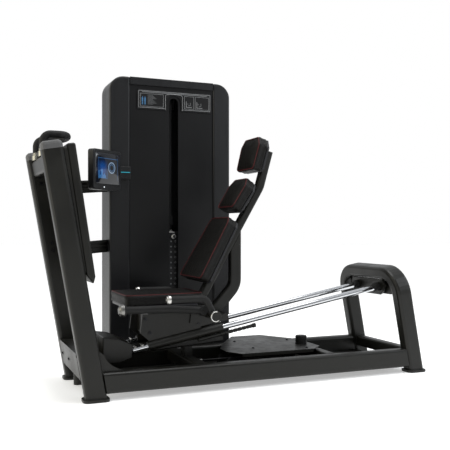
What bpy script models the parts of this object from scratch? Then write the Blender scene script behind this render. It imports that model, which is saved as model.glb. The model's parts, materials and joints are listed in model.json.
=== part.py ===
"""Seated leg press with an inclined seat carriage, a footplate frame and a covered weight stack.

Axes while modelling: +X from the footplate to the rear arch, +Y from the user's side to the weight
tower, +Z up.  The last step moves the origin to the centre of the overall footprint on the floor.
"""

import math

import bmesh
import bpy
from mathutils import Matrix, Vector

# ---- general ----------------------------------------------------------------------------------
GAP = 0.0003                # clearance left between touching pieces
ROUND_SEGMENTS = 28         # sides of a round bar
BEND_SEGMENTS = 7           # steps in a bend
CORNER_SEGMENTS = 3         # steps in a rounded tube corner

# ---- base frame -------------------------------------------------------------------------------
FRAME_GAUGE = 0.516         # distance between the two side frames, centre to centre
FRAME_LENGTH = 1.716        # from the footplate legs to the rear arch legs, at the floor
TUBE_WIDTH = 0.066          # width of the side tubes, across the machine
TUBE_RADIUS = 0.017         # corner radius of the large tubes
RAIL_BOTTOM = 0.030
RAIL_TOP = 0.125
FOOT_THICKNESS = 0.012
FOOT_MARGIN = 0.012
CROSS_TUBE_HEIGHT = 0.060
CROSS_TUBE_DEPTH = 0.050
MID_CROSS_X = 1.228

# ---- footplate frame --------------------------------------------------------------------------
UPRIGHT_LEAN = math.radians(9.9)
UPRIGHT_DEPTH = 0.095
UPRIGHT_LENGTH = 1.110
CAP_LENGTH = 0.036
TOP_BAR_HEIGHT = 0.075
TOP_BAR_DEPTH = 0.060
TOP_BAR_DROP = 0.012
FOOTPLATE_WIDTH = 0.566
FOOTPLATE_HEIGHT = 0.625
FOOTPLATE_THICKNESS = 0.039
FOOTPLATE_LOW = 0.500
FOOTPLATE_CHAMFER = 0.045
FOOTPLATE_CLEARANCE = 0.0015
FOOTPLATE_TILT = math.radians(1.35)
HANDLE_SPAN = 0.220
OVERALL_REACH = 4.0         # half width of a helper slab, wider than the machine
CUT_REACH = 0.1             # half depth of a helper slab
HANDLE_RADIUS = 0.0170
HANDLE_LEG = 0.103
HANDLE_REACH = 0.076
HANDLE_BEND = 0.036
HANDLE_SETBACK = 0.020
HANDLE_BULGE = 0.048
COLLAR_RADIUS = 0.021
COLLAR_HEIGHT = 0.022
LOW_PLATE_HEIGHT = 0.112
LOW_PLATE_START = 0.083
LOW_PLATE_THICKNESS = 0.012
FRONT_CROSS_DEPTH = 0.092
FRONT_CROSS_HEIGHT = 0.030
TREAD_DEPTH = 0.080
TREAD_SETBACK = -0.008
TREAD_THICKNESS = 0.016
MIDDLE_FOOT_RADIUS = 0.022
GUSSET_LENGTH = 0.150
GUSSET_HEIGHT = 0.100
GUSSET_THICKNESS = 0.010
GUSSET_ROOT = 0.006

# ---- rear arch --------------------------------------------------------------------------------
ROD_INCLINE = math.radians(10.6)
ARCH_DEPTH = 0.090
ARCH_LENGTH = 0.556
ARCH_BEND = 0.112
BRACKET_DROP = 0.100
BRACKET_WIDTH = 0.330
BRACKET_THICKNESS = 0.016

# ---- guide rods and carriage ------------------------------------------------------------------
ROD_SPAN = 0.200
ROD_RADIUS = 0.0150
ROD_END_X = 1.611
ROD_END_Z = 0.446
ROD_FRONT_X = 0.215
BUMPER_RADIUS = 0.024
BUMPER_LENGTH = 0.030
HOUSING_RADIUS = 0.0235
HOUSING_BORE_CLEARANCE = 0.0008
HOUSING_START_X = 0.290
HOUSING_END_X = 0.672
SIDE_PLATE_THICKNESS = 0.006
CORE_LIFT = 0.062
SEAT_WIDTH = 0.330
SEAT_LENGTH = 0.400
SEAT_THICKNESS = 0.050
SEAT_FRONT_X = 0.165
SEAT_TOP_Z = 0.449
SEAT_PAN_THICKNESS = 0.014
PAD_THICKNESS = 0.050
BOARD_THICKNESS = 0.012
BACK_ANGLE = math.radians(60.4)
BACK_LENGTH = 0.352
BACK_TOP_WIDTH = 0.270
BACK_LOW_WIDTH = 0.322
BACK_TOP = (0.708, 0.823)
BACK_CHAMFER = 0.030
MIDDLE_ANGLE = math.radians(58.5)
MIDDLE_LENGTH = 0.182
MIDDLE_WIDTH = 0.228
MIDDLE_TOP = (0.822, 1.024)
MIDDLE_TAPER = 0.94
MIDDLE_CHAMFER = 0.045
HEAD_ANGLE = math.radians(75.5)
HEAD_LENGTH = 0.180
HEAD_WIDTH = 0.236
HEAD_TOP = (0.884, 1.238)
HEAD_TAPER = 0.94
HEAD_CHAMFER = 0.045
SPINE_WIDTH = 0.050
SPINE_DEPTH = 0.040
SPINE_SETBACK = 0.107
SUPPORT_WIDTH = 0.040
SUPPORT_DEPTH = 0.062
SUPPORT_X = 0.784
GRIP_SPAN = 0.542
GRIP_RADIUS = 0.0175
GRIP_CAP_RADIUS = 0.0205
GRIP_CAP_LENGTH = 0.014
GRIP_FRONT_X = 0.345
GRIP_Z = 0.434
SHAFT_X = 0.562
SHAFT_Z = 0.350
SHAFT_RADIUS = 0.0170
LEVER_RADIUS = 0.0180
LEVER_CAP_RADIUS = 0.0290
LEVER_CAP_LENGTH = 0.030
LEVER_OFFSET = 0.212        # from the middle of the machine to the release lever
LEVER_FRONT_X = 0.150
LEVER_Z = 0.388
LEVER_PIVOT_X = 0.528
LEVER_PIVOT_Z = 0.372
LEVER_HUB_RADIUS = 0.021
LEVER_BOSS_RADIUS = 0.010
LEVER_PIN_RADIUS = 0.006
LEVER_TAB_THICKNESS = 0.012
RACK_RADIUS = 0.0090

# ---- front pedestal, base cover ---------------------------------------------------------------
PEDESTAL_WIDTH = 0.250
CHANNEL_WIDTH = 0.090
CHANNEL_HEIGHT = 0.036
CHANNEL_START_Z = 0.172
CHANNEL_RISE = 0.034
CHANNEL_POST_X = 0.520
COVER_THICKNESS = 0.004
COVER_Z = 0.134
COVER_LIP = 0.026
BASE_BUMPER_RADIUS = 0.031
BASE_BUMPER_GROOVE = 0.003
BASE_BUMPER_HEIGHT = 0.044

# ---- weight tower -----------------------------------------------------------------------------
TOWER_FRONT_Y = 0.660
TOWER_DEPTH = 0.200
TOWER_LEFT_X = 0.220
TOWER_WIDTH = 0.705
TOWER_TOP = 1.596
TOWER_FLOOR_Z = 0.030
TOWER_WALL = 0.004
TOWER_CORNER = 0.080
LEFT_COVER_WIDTH = 0.114
RIGHT_COVER_WIDTH = 0.103
PANEL_RECESS = 0.008
PANEL_THICKNESS = 0.004
HEADER_HEIGHT = 0.040
SLOT_CENTRE_X = 0.587
SLOT_WIDTH = 0.053
SLOT_BOTTOM = 0.411
SLOT_TOP = 1.494
PLACARD_LEFT = 0.374
PLACARD_RIGHT = 0.812
PLACARD_BOTTOM = 1.424
PLACARD_TOP = 1.534
PLACARD_THICKNESS = 0.005
PLACARD_NOTCH = 0.042

# ---- weight stack -----------------------------------------------------------------------------
PLATE_COUNT = 18
PLATE_PITCH = 0.030
PLATE_WIDTH = 0.270
PLATE_DEPTH = 0.100
PLATE_GROOVE = 0.0012
STACK_Y = 0.745
STACK_BOTTOM = 0.165
TRAY_TOP = 0.095
BUFFER_RADIUS = 0.022
TOP_PLATE_HEIGHT = 0.040
GUIDE_SPAN = 0.190
GUIDE_RADIUS = 0.0110
GUIDE_CLEARANCE = 0.0015
STEM_RADIUS = 0.0120
STEM_RISE = 0.045
CLAMP_HEIGHT = 0.045
PIN_RADIUS = 0.0045
PIN_KNOB_RADIUS = 0.0130
PULLEY_RADIUS = 0.050
PULLEY_WIDTH = 0.028
PULLEY_Z = 1.475
AXLE_RADIUS = 0.0080
BELT_WIDTH = 0.020
BELT_THICKNESS = 0.003

# ---- display ----------------------------------------------------------------------------------
DISPLAY_WIDTH = 0.230
DISPLAY_HEIGHT = 0.208
DISPLAY_THICKNESS = 0.040
DISPLAY_HEADING = math.radians(50.7)
DISPLAY_EDGE = (0.266, 0.585)
DISPLAY_Z = 1.066
BARREL_RADIUS = 0.0180
BARREL_INSET = 0.020
BRACKET_END_X = 0.331
HINGE_PIN_RADIUS = 0.0080

CENTRE_Y = FRAME_GAUGE / 2
LEVER_Y = CENTRE_Y - LEVER_OFFSET
INCLINE = Vector((math.cos(ROD_INCLINE), 0.0, math.sin(ROD_INCLINE)))
ARCH_UP = Vector((-math.sin(ROD_INCLINE), 0.0, math.cos(ROD_INCLINE)))
UPRIGHT_UP = Vector((-math.sin(UPRIGHT_LEAN), 0.0, math.cos(UPRIGHT_LEAN)))
UPRIGHT_FORE = Vector((math.cos(UPRIGHT_LEAN), 0.0, math.sin(UPRIGHT_LEAN)))
ACROSS = Vector((0.0, 1.0, 0.0))
ALONG = Vector((1.0, 0.0, 0.0))
UP = Vector((0.0, 0.0, 1.0))

PAINT = {
    "frame_paint": ((0.052, 0.052, 0.050), 0.42, 0.55),
    "cap_grey": ((0.300, 0.300, 0.290), 0.50, 0.0),
    "rubber": ((0.020, 0.020, 0.020), 0.80, 0.0),
    "chrome": ((0.800, 0.800, 0.810), 0.10, 1.0),
    "silver": ((0.620, 0.620, 0.630), 0.28, 1.0),
    "cover_plastic": ((0.060, 0.062, 0.068), 0.45, 0.1),
    "panel_plastic": ((0.030, 0.031, 0.034), 0.50, 0.0),
    "placard": ((0.110, 0.120, 0.130), 0.35, 0.0),
    "leather": ((0.022, 0.022, 0.022), 0.55, 0.0),
    "board": ((0.180, 0.180, 0.175), 0.50, 0.0),
    "steel": ((0.100, 0.100, 0.100), 0.45, 0.8),
    "belt": ((0.015, 0.015, 0.015), 0.70, 0.0),
}


# ---- helpers ----------------------------------------------------------------------------------
def clear_scene():
    for obj in list(bpy.data.objects):
        bpy.data.objects.remove(obj, do_unlink=True)


def material(key, name):
    colour, roughness, metallic = PAINT[key]
    made = bpy.data.materials.new(name + "_" + key)
    made.use_nodes = True
    shader = made.node_tree.nodes["Principled BSDF"]
    shader.inputs["Base Color"].default_value = (*colour, 1.0)
    shader.inputs["Roughness"].default_value = roughness
    shader.inputs["Metallic"].default_value = metallic
    made.diffuse_color = (*colour, 1.0)
    return made


def add(name, bm, paint, origin=None, smooth=True, bevel=0.0, steps=2):
    """Turns a bmesh in world coordinates into an object with its origin at the given point."""
    place = Vector(origin) if origin else Vector((0.0, 0.0, 0.0))
    bmesh.ops.recalc_face_normals(bm, faces=bm.faces)
    bmesh.ops.translate(bm, verts=bm.verts, vec=-place)
    mesh = bpy.data.meshes.new(name)
    bm.to_mesh(mesh)
    bm.free()
    if smooth:
        mesh.shade_smooth()
        mesh.set_sharp_from_angle(angle=math.radians(32))
    mesh.materials.append(material(paint, name))
    obj = bpy.data.objects.new(name, mesh)
    obj.location = place
    bpy.context.scene.collection.objects.link(obj)
    if bevel > 0.0:
        edge = obj.modifiers.new("Bevel", "BEVEL")
        edge.width = bevel
        edge.segments = steps
        edge.limit_method = "ANGLE"
        edge.angle_limit = math.radians(40)
        edge.use_clamp_overlap = True
    return obj


def cutter(name, bm):
    """A hidden solid that a Boolean takes away."""
    bmesh.ops.recalc_face_normals(bm, faces=bm.faces)
    mesh = bpy.data.meshes.new(name)
    bm.to_mesh(mesh)
    bm.free()
    obj = bpy.data.objects.new(name, mesh)
    obj.hide_render = True
    obj.display_type = "WIRE"
    bpy.context.scene.collection.objects.link(obj)
    return obj


def cut(obj, tool, operation="DIFFERENCE"):
    boolean = obj.modifiers.new(operation.title() + "_" + tool.name, "BOOLEAN")
    boolean.operation = operation
    boolean.solver = "EXACT"
    boolean.object = tool
    return boolean


def weld(obj, name, bm):
    """Joins another solid to a piece."""
    return cut(obj, cutter(obj.name + "_" + name, bm), "UNION")


def circle(radius, segments=ROUND_SEGMENTS):
    turn = 2.0 * math.pi / segments
    return [(radius * math.cos(turn * i), radius * math.sin(turn * i)) for i in range(segments)]


def rounded_rectangle(width, height, radius, steps=CORNER_SEGMENTS):
    """Closed outline, counter-clockwise, centred on zero."""
    points = []
    corners = ((1, 1, 0.0), (-1, 1, 0.5), (-1, -1, 1.0), (1, -1, 1.5))
    for side_x, side_y, start in corners:
        centre_x = side_x * (width / 2 - radius)
        centre_y = side_y * (height / 2 - radius)
        for step in range(steps + 1):
            angle = math.pi * (start + 0.5 * step / steps)
            points.append((centre_x + radius * math.cos(angle), centre_y + radius * math.sin(angle)))
    return points


def fillet(points, radius, steps=BEND_SEGMENTS):
    """Rounds each inner corner of an open polyline."""
    points = [Vector(p) for p in points]
    made = [points[0]]
    for before, corner, after in zip(points, points[1:], points[2:]):
        back = (before - corner).normalized()
        ahead = (after - corner).normalized()
        half = back.angle(ahead) / 2
        reach = radius / math.tan(half)
        reach = min(reach, (before - corner).length * 0.499, (after - corner).length * 0.499)
        bend = reach * math.tan(half)
        centre = corner + (back + ahead).normalized() * (bend / math.sin(half))
        start = corner + back * reach - centre
        finish = corner + ahead * reach - centre
        axis = start.cross(finish).normalized()
        sweep_angle = start.angle(finish)
        for step in range(steps + 1):
            turned = Matrix.Rotation(sweep_angle * step / steps, 3, axis) @ start
            made.append(centre + turned)
    made.append(points[-1])
    return made


def sweep(path, section, normal):
    """Solid swept along a planar path.  Section axis one is the normal, axis two lies in the plane."""
    bm = bmesh.new()
    normal = Vector(normal).normalized()
    rings = []
    for index, point in enumerate(path):
        before = path[max(index - 1, 0)]
        after = path[min(index + 1, len(path) - 1)]
        into = (point - before).normalized() if index else (after - point).normalized()
        out = (after - point).normalized() if index < len(path) - 1 else into
        tangent = (into + out).normalized()
        stretch = 1.0 / max(tangent.dot(into), 0.5)
        inward = tangent.cross(normal).normalized()
        rings.append([bm.verts.new(point + normal * a + inward * b * stretch) for a, b in section])
    count = len(section)
    for low, high in zip(rings, rings[1:]):
        for i in range(count):
            j = (i + 1) % count
            bm.faces.new((low[i], low[j], high[j], high[i]))
    bm.faces.new(rings[0][::-1])
    bm.faces.new(rings[-1])
    return bm


def bar(start, finish, section, normal):
    return sweep([Vector(start), Vector(finish)], section, normal)


def rod(start, finish, radius, segments=ROUND_SEGMENTS):
    start = Vector(start)
    finish = Vector(finish)
    along = (finish - start).normalized()
    side = along.orthogonal().normalized()
    return bar(start, finish, circle(radius, segments), side)


def turned(start, finish, profile, segments=ROUND_SEGMENTS):
    """Solid of revolution: profile is (fraction of the length, radius) from start to finish."""
    start = Vector(start)
    finish = Vector(finish)
    along = (finish - start).normalized()
    side = along.orthogonal().normalized()
    other = along.cross(side)
    bm = bmesh.new()
    rings = []
    for fraction, radius in profile:
        centre = start.lerp(finish, fraction)
        ring = [bm.verts.new(centre + side * a + other * b) for a, b in circle(radius, segments)]
        rings.append(ring)
    for low, high in zip(rings, rings[1:]):
        for i in range(segments):
            j = (i + 1) % segments
            bm.faces.new((low[i], low[j], high[j], high[i]))
    bm.faces.new(rings[0][::-1])
    bm.faces.new(rings[-1])
    return bm


def prism(outline, thickness):
    """Solid from a closed planar outline of points and a thickness vector."""
    bm = bmesh.new()
    low = [bm.verts.new(Vector(p)) for p in outline]
    high = [bm.verts.new(Vector(p) + Vector(thickness)) for p in outline]
    count = len(outline)
    for i in range(count):
        j = (i + 1) % count
        bm.faces.new((low[i], low[j], high[j], high[i]))
    bm.faces.new(low[::-1])
    bm.faces.new(high)
    return bm


def block(low, high):
    (x0, y0, z0), (x1, y1, z1) = low, high
    return prism(((x0, y0, z0), (x1, y0, z0), (x1, y1, z0), (x0, y1, z0)), (0.0, 0.0, z1 - z0))


def slant_end(bm, origin, direction, at_start, along=ALONG):
    """Moves one end's vertices along an axis onto the plane through origin facing direction."""
    reach = [v.co.dot(along) for v in bm.verts]
    edge = min(reach) if at_start else max(reach)
    for vert in bm.verts:
        if abs(vert.co.dot(along) - edge) < 1e-6:
            vert.co += along * ((Vector(origin) - vert.co).dot(direction) / direction.dot(along))


def empty(name, place):
    made = bpy.data.objects.new(name, None)
    made.location = Vector(place)
    made.empty_display_size = 0.05
    bpy.context.scene.collection.objects.link(made)
    return made


def group(pieces, parent):
    """Parents pieces, and the cutters they use, to an empty and keeps them where they are."""
    for piece in pieces:
        place(piece, parent)
        for modifier in piece.modifiers:
            if modifier.type == "BOOLEAN":
                place(modifier.object, parent)


def place(piece, parent):
    piece.parent = parent
    piece.location = piece.location - parent.location


def upright_point(height, y, fore=0.0):
    """A point at a length up the leaning upright, offset forwards from its centre line."""
    foot = Vector((0.006, y, FOOT_THICKNESS + GAP))
    return foot + UPRIGHT_UP * height + UPRIGHT_FORE * fore


def arch_point(height, y, fore=0.0):
    foot = Vector((FRAME_LENGTH, y, FOOT_THICKNESS + GAP))
    return foot + ARCH_UP * height + INCLINE * fore


def rod_point(x, y, offset=0.0):
    """A point on a guide rod's line at a given X, lifted square to the rod."""
    z = ROD_END_Z + (x - ROD_END_X) * math.tan(ROD_INCLINE)
    return Vector((x, y, z)) + ARCH_UP * offset


# ---- base and frames --------------------------------------------------------------------------
def foot_flange(body, side, centre, depth):
    """Welds a flat foot flange to the lower end of a leg."""
    outline = rounded_rectangle(depth + 2 * FOOT_MARGIN, TUBE_WIDTH + 2 * FOOT_MARGIN, 0.026, 4)
    ring = [(centre.x + a, centre.y + b, 0.0) for a, b in outline]
    weld(body, "foot_flange_" + side, prism(ring, (0.0, 0.0, FOOT_THICKNESS)))


def upright(name, y):
    section = rounded_rectangle(TUBE_WIDTH, UPRIGHT_DEPTH, TUBE_RADIUS)
    bm = bar(upright_point(0.0, y), upright_point(UPRIGHT_LENGTH, y), section, ACROSS)
    slant_end(bm, (0.0, 0.0, FOOT_THICKNESS / 2), UP, True, UPRIGHT_UP)
    body = add(name, bm, "frame_paint")
    foot_flange(body, "front", upright_point(0.0, y), UPRIGHT_DEPTH)
    return body


def upright_cap(name, y):
    bm = bmesh.new()
    levels = ((0.0, 0.0), (0.55, 0.0), (0.82, 0.004), (1.0, 0.013))
    rings = []
    for fraction, shrink in levels:
        section = rounded_rectangle(
            TUBE_WIDTH - 2 * shrink, UPRIGHT_DEPTH - 2 * shrink, TUBE_RADIUS - 0.3 * shrink
        )
        centre = upright_point(UPRIGHT_LENGTH + GAP + CAP_LENGTH * fraction, y)
        rings.append([bm.verts.new(centre + ACROSS * a + UPRIGHT_FORE * b) for a, b in section])
    for low, high in zip(rings, rings[1:]):
        for i in range(len(low)):
            j = (i + 1) % len(low)
            bm.faces.new((low[i], low[j], high[j], high[i]))
    bm.faces.new(rings[0][::-1])
    bm.faces.new(rings[-1])
    return add(name, bm, "cap_grey")


def inner_span():
    """Y limits between the two side tubes, with the clearance left."""
    return TUBE_WIDTH / 2 + GAP, FRAME_GAUGE - TUBE_WIDTH / 2 - GAP


def top_bar():
    low, high = inner_span()
    height = UPRIGHT_LENGTH - TOP_BAR_HEIGHT / 2 - TOP_BAR_DROP
    section = rounded_rectangle(TOP_BAR_DEPTH, TOP_BAR_HEIGHT, 0.012)
    bm = bar(upright_point(height, low), upright_point(height, high), section, UPRIGHT_FORE)
    return add("foot_frame_top_bar", bm, "frame_paint")


def top_bar_surface(fore=0.0):
    return upright_point(UPRIGHT_LENGTH - TOP_BAR_DROP + GAP, CENTRE_Y, fore)


def handle():
    half = HANDLE_SPAN / 2
    base = top_bar_surface(-HANDLE_SETBACK)
    start = Vector((base.x, CENTRE_Y - half, base.z - 0.004))
    corner = start + UP * HANDLE_LEG
    front = corner + ALONG * HANDLE_REACH
    near = fillet([start, corner, front], HANDLE_BEND)
    far = [Vector((p.x, FRAME_GAUGE - p.y, p.z)) for p in near]
    loop = [front + ACROSS * (half - half * math.cos(t)) + ALONG * (HANDLE_BULGE * math.sin(t))
            for t in [math.pi * i / 10 for i in range(1, 10)]]
    bm = tube_3d(near + loop + far[::-1], HANDLE_RADIUS)
    body = add("foot_frame_handle", bm, "rubber")
    tool = upright_slab(UPRIGHT_LENGTH - TOP_BAR_DROP - 0.05, 0.05 + GAP)
    for side in (-1, 1):
        foot = Vector((base.x, CENTRE_Y + side * half, base.z - 0.004))
        weld(body, "collar_%d" % (side + 1), rod(foot, foot + UP * COLLAR_HEIGHT, COLLAR_RADIUS))
    cut(body, cutter("foot_frame_handle_seat", tool))
    return body


def upright_slab(height, thickness):
    """A wide slab square to the uprights, from a length up them."""
    corners = ((-1.0, -1.0), (1.0, -1.0), (1.0, 1.0), (-1.0, 1.0))
    outline = [upright_point(height, CENTRE_Y + a * OVERALL_REACH, b * CUT_REACH) for b, a in corners]
    return prism(outline, UPRIGHT_UP * thickness)


def tube_3d(path, radius, segments=16):
    """Round tube along any path, carried without twist."""
    bm = bmesh.new()
    tangents = []
    for index in range(len(path)):
        before = path[max(index - 1, 0)]
        after = path[min(index + 1, len(path) - 1)]
        tangents.append((after - before).normalized())
    side = tangents[0].orthogonal().normalized()
    rings = []
    for index, point in enumerate(path):
        if index:
            side = tangents[index - 1].rotation_difference(tangents[index]) @ side
        side = (side - tangents[index] * side.dot(tangents[index])).normalized()
        other = tangents[index].cross(side)
        rings.append([bm.verts.new(point + side * a + other * b) for a, b in circle(radius, segments)])
    for low, high in zip(rings, rings[1:]):
        for i in range(segments):
            j = (i + 1) % segments
            bm.faces.new((low[i], low[j], high[j], high[i]))
    bm.faces.new(rings[0][::-1])
    bm.faces.new(rings[-1])
    return bm


def footplate():
    """Thick slab ahead of the uprights, closest to them at its chamfered lower edge."""
    lean = UPRIGHT_LEAN - FOOTPLATE_TILT
    rise = Vector((-math.sin(lean), 0.0, math.cos(lean)))
    fore = Vector((math.cos(lean), 0.0, math.sin(lean)))
    near = CENTRE_Y - FOOTPLATE_WIDTH / 2
    low = upright_point(FOOTPLATE_LOW, near, UPRIGHT_DEPTH / 2 + FOOTPLATE_CLEARANCE)
    thick = FOOTPLATE_THICKNESS
    profile = ((0.0, FOOTPLATE_CHAMFER), (0.65 * thick, 0.0), (thick, 0.70 * FOOTPLATE_CHAMFER),
               (thick, FOOTPLATE_HEIGHT), (0.0, FOOTPLATE_HEIGHT))
    outline = [low + fore * a + rise * b for a, b in profile]
    return add("footplate", prism(outline, ACROSS * FOOTPLATE_WIDTH), "frame_paint", bevel=0.010, steps=3)


def low_crosspiece():
    """Welded front tie: a flat plate and a tread above the front cross tube and its foot."""
    low, high = inner_span()
    centre = upright_point(RAIL_TOP / 2, 0.0)
    section = rounded_rectangle(FRONT_CROSS_DEPTH, FRONT_CROSS_HEIGHT, 0.006)
    z = RAIL_TOP - FRONT_CROSS_HEIGHT / 2
    cross = bar((centre.x, low, z), (centre.x, high, z), section, ALONG)
    body = add("foot_frame_low_tie", cross, "frame_paint")
    middle = LOW_PLATE_START + LOW_PLATE_HEIGHT / 2
    fore = -UPRIGHT_DEPTH / 2 + LOW_PLATE_THICKNESS / 2 + 0.001
    outline = rounded_rectangle(LOW_PLATE_THICKNESS, LOW_PLATE_HEIGHT, 0.003, 2)
    plate = bar(upright_point(middle, low, fore), upright_point(middle, high, fore), outline, UPRIGHT_FORE)
    weld(body, "plate", plate)
    tread_z = LOW_PLATE_START + LOW_PLATE_HEIGHT - 0.004
    tread_x = upright_point(tread_z, 0.0).x + TREAD_SETBACK
    tread = block(
        (tread_x - TREAD_DEPTH / 2, low, tread_z),
        (tread_x + TREAD_DEPTH / 2, high, tread_z + TREAD_THICKNESS),
    )
    weld(body, "tread", tread)
    foot_y = FRAME_GAUGE * 0.70
    foot = rod((centre.x, foot_y, 0.0), (centre.x, foot_y, z), MIDDLE_FOOT_RADIUS)
    weld(body, "foot", foot)
    return body


def rail(name, y):
    section = rounded_rectangle(TUBE_WIDTH - 0.004, RAIL_TOP - RAIL_BOTTOM, 0.014)
    middle = (RAIL_TOP + RAIL_BOTTOM) / 2
    bm = bar((0.1, y, middle), (FRAME_LENGTH - 0.1, y, middle), section, ACROSS)
    slant_end(bm, upright_point(0.0, y, UPRIGHT_DEPTH / 2 + GAP), UPRIGHT_FORE, True)
    slant_end(bm, arch_point(0.0, y, -ARCH_DEPTH / 2 - GAP), INCLINE, False)
    body = add(name, bm, "frame_paint")
    weld(body, "gusset", gusset(y))
    return body


def cross_tube(name, x, top, depth, height):
    low, high = inner_span()
    low -= 0.002
    high += 0.002
    section = rounded_rectangle(depth, height, 0.008)
    bm = bar((x, low, top - height / 2), (x, high, top - height / 2), section, ALONG)
    return add(name, bm, "frame_paint")


def rear_cross_tube():
    low, high = inner_span()
    z = RAIL_TOP - CROSS_TUBE_HEIGHT / 2
    centre = arch_point(z, 0.0)
    section = rounded_rectangle(CROSS_TUBE_DEPTH, CROSS_TUBE_HEIGHT, 0.008)
    bm = bar((centre.x, low, z), (centre.x, high, z), section, ALONG)
    return add("base_cross_rear", bm, "frame_paint")


def gusset(y):
    """Curved web between an upright and the rail below it."""
    rise = RAIL_TOP - GUSSET_ROOT
    corner = upright_point(0.0, y, UPRIGHT_DEPTH / 2 + GAP)
    slope = math.tan(UPRIGHT_LEAN)

    def front_x(z):
        return corner.x - (z - corner.z) * slope

    outline = [Vector((front_x(rise), y, rise))]
    outline.append(Vector((front_x(rise) + GUSSET_LENGTH, y, rise)))
    steps = 8
    for step in range(1, steps):
        angle = 0.5 * math.pi * step / steps
        z = rise + GUSSET_HEIGHT * (1.0 - math.cos(angle))
        x = front_x(rise) + GUSSET_LENGTH * (1.0 - math.sin(angle)) + 0.004
        outline.append(Vector((x, y, z)))
    outline.append(Vector((front_x(rise + GUSSET_HEIGHT), y, rise + GUSSET_HEIGHT)))
    outline = [p - ACROSS * GUSSET_THICKNESS / 2 for p in outline]
    return prism(outline, ACROSS * GUSSET_THICKNESS)


def rear_arch():
    section = rounded_rectangle(ARCH_DEPTH, TUBE_WIDTH, TUBE_RADIUS)
    near = arch_point(0.0, 0.0)
    far = arch_point(0.0, FRAME_GAUGE)
    height = ARCH_LENGTH - TUBE_WIDTH / 2
    path = fillet([near, near + ARCH_UP * height, far + ARCH_UP * height, far], ARCH_BEND, 10)
    bm = sweep(path, section, INCLINE)
    for vert in bm.verts:
        lift = vert.co.dot(ARCH_UP) - near.dot(ARCH_UP)
        if abs(lift) < 1e-5:
            vert.co += ARCH_UP * ((FOOT_THICKNESS / 2 - vert.co.z) / ARCH_UP.z)
    body = add("rear_arch", bm, "frame_paint")
    foot_flange(body, "near", near, ARCH_DEPTH)
    foot_flange(body, "far", far, ARCH_DEPTH)
    return body


def rod_bracket():
    """Plate under the top of the arch that takes the rear ends of the two rods."""
    top = ARCH_LENGTH - TUBE_WIDTH - GAP - 0.003
    low = top - BRACKET_DROP + 0.012
    half = BRACKET_WIDTH / 2
    shape = [(-half + 0.022, top), (-half, top - 0.03), (-half + 0.03, low + 0.02), (-half + 0.06, low)]
    shape += [(-u, v) for u, v in shape[::-1]]
    fore = -ARCH_DEPTH / 2 + 0.012
    outline = [arch_point(v, CENTRE_Y + u, fore) for u, v in shape]
    return add("rod_bracket", prism(outline, INCLINE * BRACKET_THICKNESS), "frame_paint", bevel=0.003)


def bracket_front_x():
    """X at which a rod's line meets the front of the rod bracket."""
    foot = arch_point(0.0, 0.0, -ARCH_DEPTH / 2 + 0.012)
    line = rod_point(ROD_END_X, 0.0)
    reach = (foot - line).dot(INCLINE)
    return line.x + reach * INCLINE.x


def rod_sides():
    return (("near", CENTRE_Y - ROD_SPAN / 2), ("far", CENTRE_Y + ROD_SPAN / 2))


def guide_rod(side, y):
    start = rod_point(ROD_FRONT_X, y)
    finish = rod_point(bracket_front_x() - GAP, y)
    return add("guide_rod_" + side, rod(start, finish, ROD_RADIUS), "chrome")


def ring_solid(start, finish, outer, inner, segments=ROUND_SEGMENTS):
    """Tube wall between two radii."""
    start = Vector(start)
    finish = Vector(finish)
    along = (finish - start).normalized()
    side = along.orthogonal().normalized()
    other = along.cross(side)
    bm = bmesh.new()
    rings = []
    for centre, radius in ((start, outer), (finish, outer), (finish, inner), (start, inner)):
        ring = [bm.verts.new(centre + side * a + other * b) for a, b in circle(radius, segments)]
        rings.append(ring)
    for index in range(4):
        low = rings[index]
        high = rings[(index + 1) % 4]
        for i in range(segments):
            j = (i + 1) % segments
            bm.faces.new((low[i], low[j], high[j], high[i]))
    return bm


def rod_bumper(side, y):
    finish_x = bracket_front_x() - GAP
    start = rod_point(finish_x, y) - INCLINE * BUMPER_LENGTH
    bm = ring_solid(start, rod_point(finish_x, y), BUMPER_RADIUS, ROD_RADIUS + GAP)
    return add("rod_bumper_" + side, bm, "rubber")


# ---- front pedestal, base cover ---------------------------------------------------------------
def pedestal():
    """Sloping cover over the front mount of the rods; its rear end face holds the rod ends."""
    half = PEDESTAL_WIDTH / 2
    profile = (
        (0.065, RAIL_TOP + 0.004),
        (0.150, RAIL_TOP + 0.006),
        (0.205, 0.150),
        (0.212, 0.214),
        (0.140, 0.246),
        (0.065, 0.258),
    )
    outline = [(x, CENTRE_Y - half, z) for x, z in profile]
    body = add("rod_mount_front", prism(outline, ACROSS * PEDESTAL_WIDTH), "frame_paint", bevel=0.006)
    for side, y in rod_sides():
        start = rod_point(ROD_FRONT_X, y) - INCLINE * 0.03
        tool = rod(start, rod_point(ROD_FRONT_X + 0.2, y), ROD_RADIUS + GAP)
        cut(body, cutter("rod_mount_socket_" + side, tool))
    return body


def spine_channel():
    """Inclined lower member under the rods, on a post and a cross tube between the rails."""
    low, high = inner_span()
    section = rounded_rectangle(CHANNEL_WIDTH, CHANNEL_HEIGHT, 0.008)
    start = Vector((0.2135, CENTRE_Y, CHANNEL_START_Z))
    finish = Vector((0.700, CENTRE_Y, CHANNEL_START_Z + CHANNEL_RISE))
    body = add("spine_channel", bar(start, finish, section, ACROSS), "frame_paint")
    tube = rounded_rectangle(0.060, CROSS_TUBE_HEIGHT, 0.008)
    z = RAIL_TOP - 0.002 - CROSS_TUBE_HEIGHT / 2
    weld(body, "cross", bar((CHANNEL_POST_X, low - 0.002, z), (CHANNEL_POST_X, high + 0.002, z), tube, ALONG))
    post_low = (CHANNEL_POST_X - 0.020, CENTRE_Y - 0.030, z)
    weld(body, "post", block(post_low, (CHANNEL_POST_X + 0.020, CENTRE_Y + 0.030, CHANNEL_START_Z + 0.010)))
    return body


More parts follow.
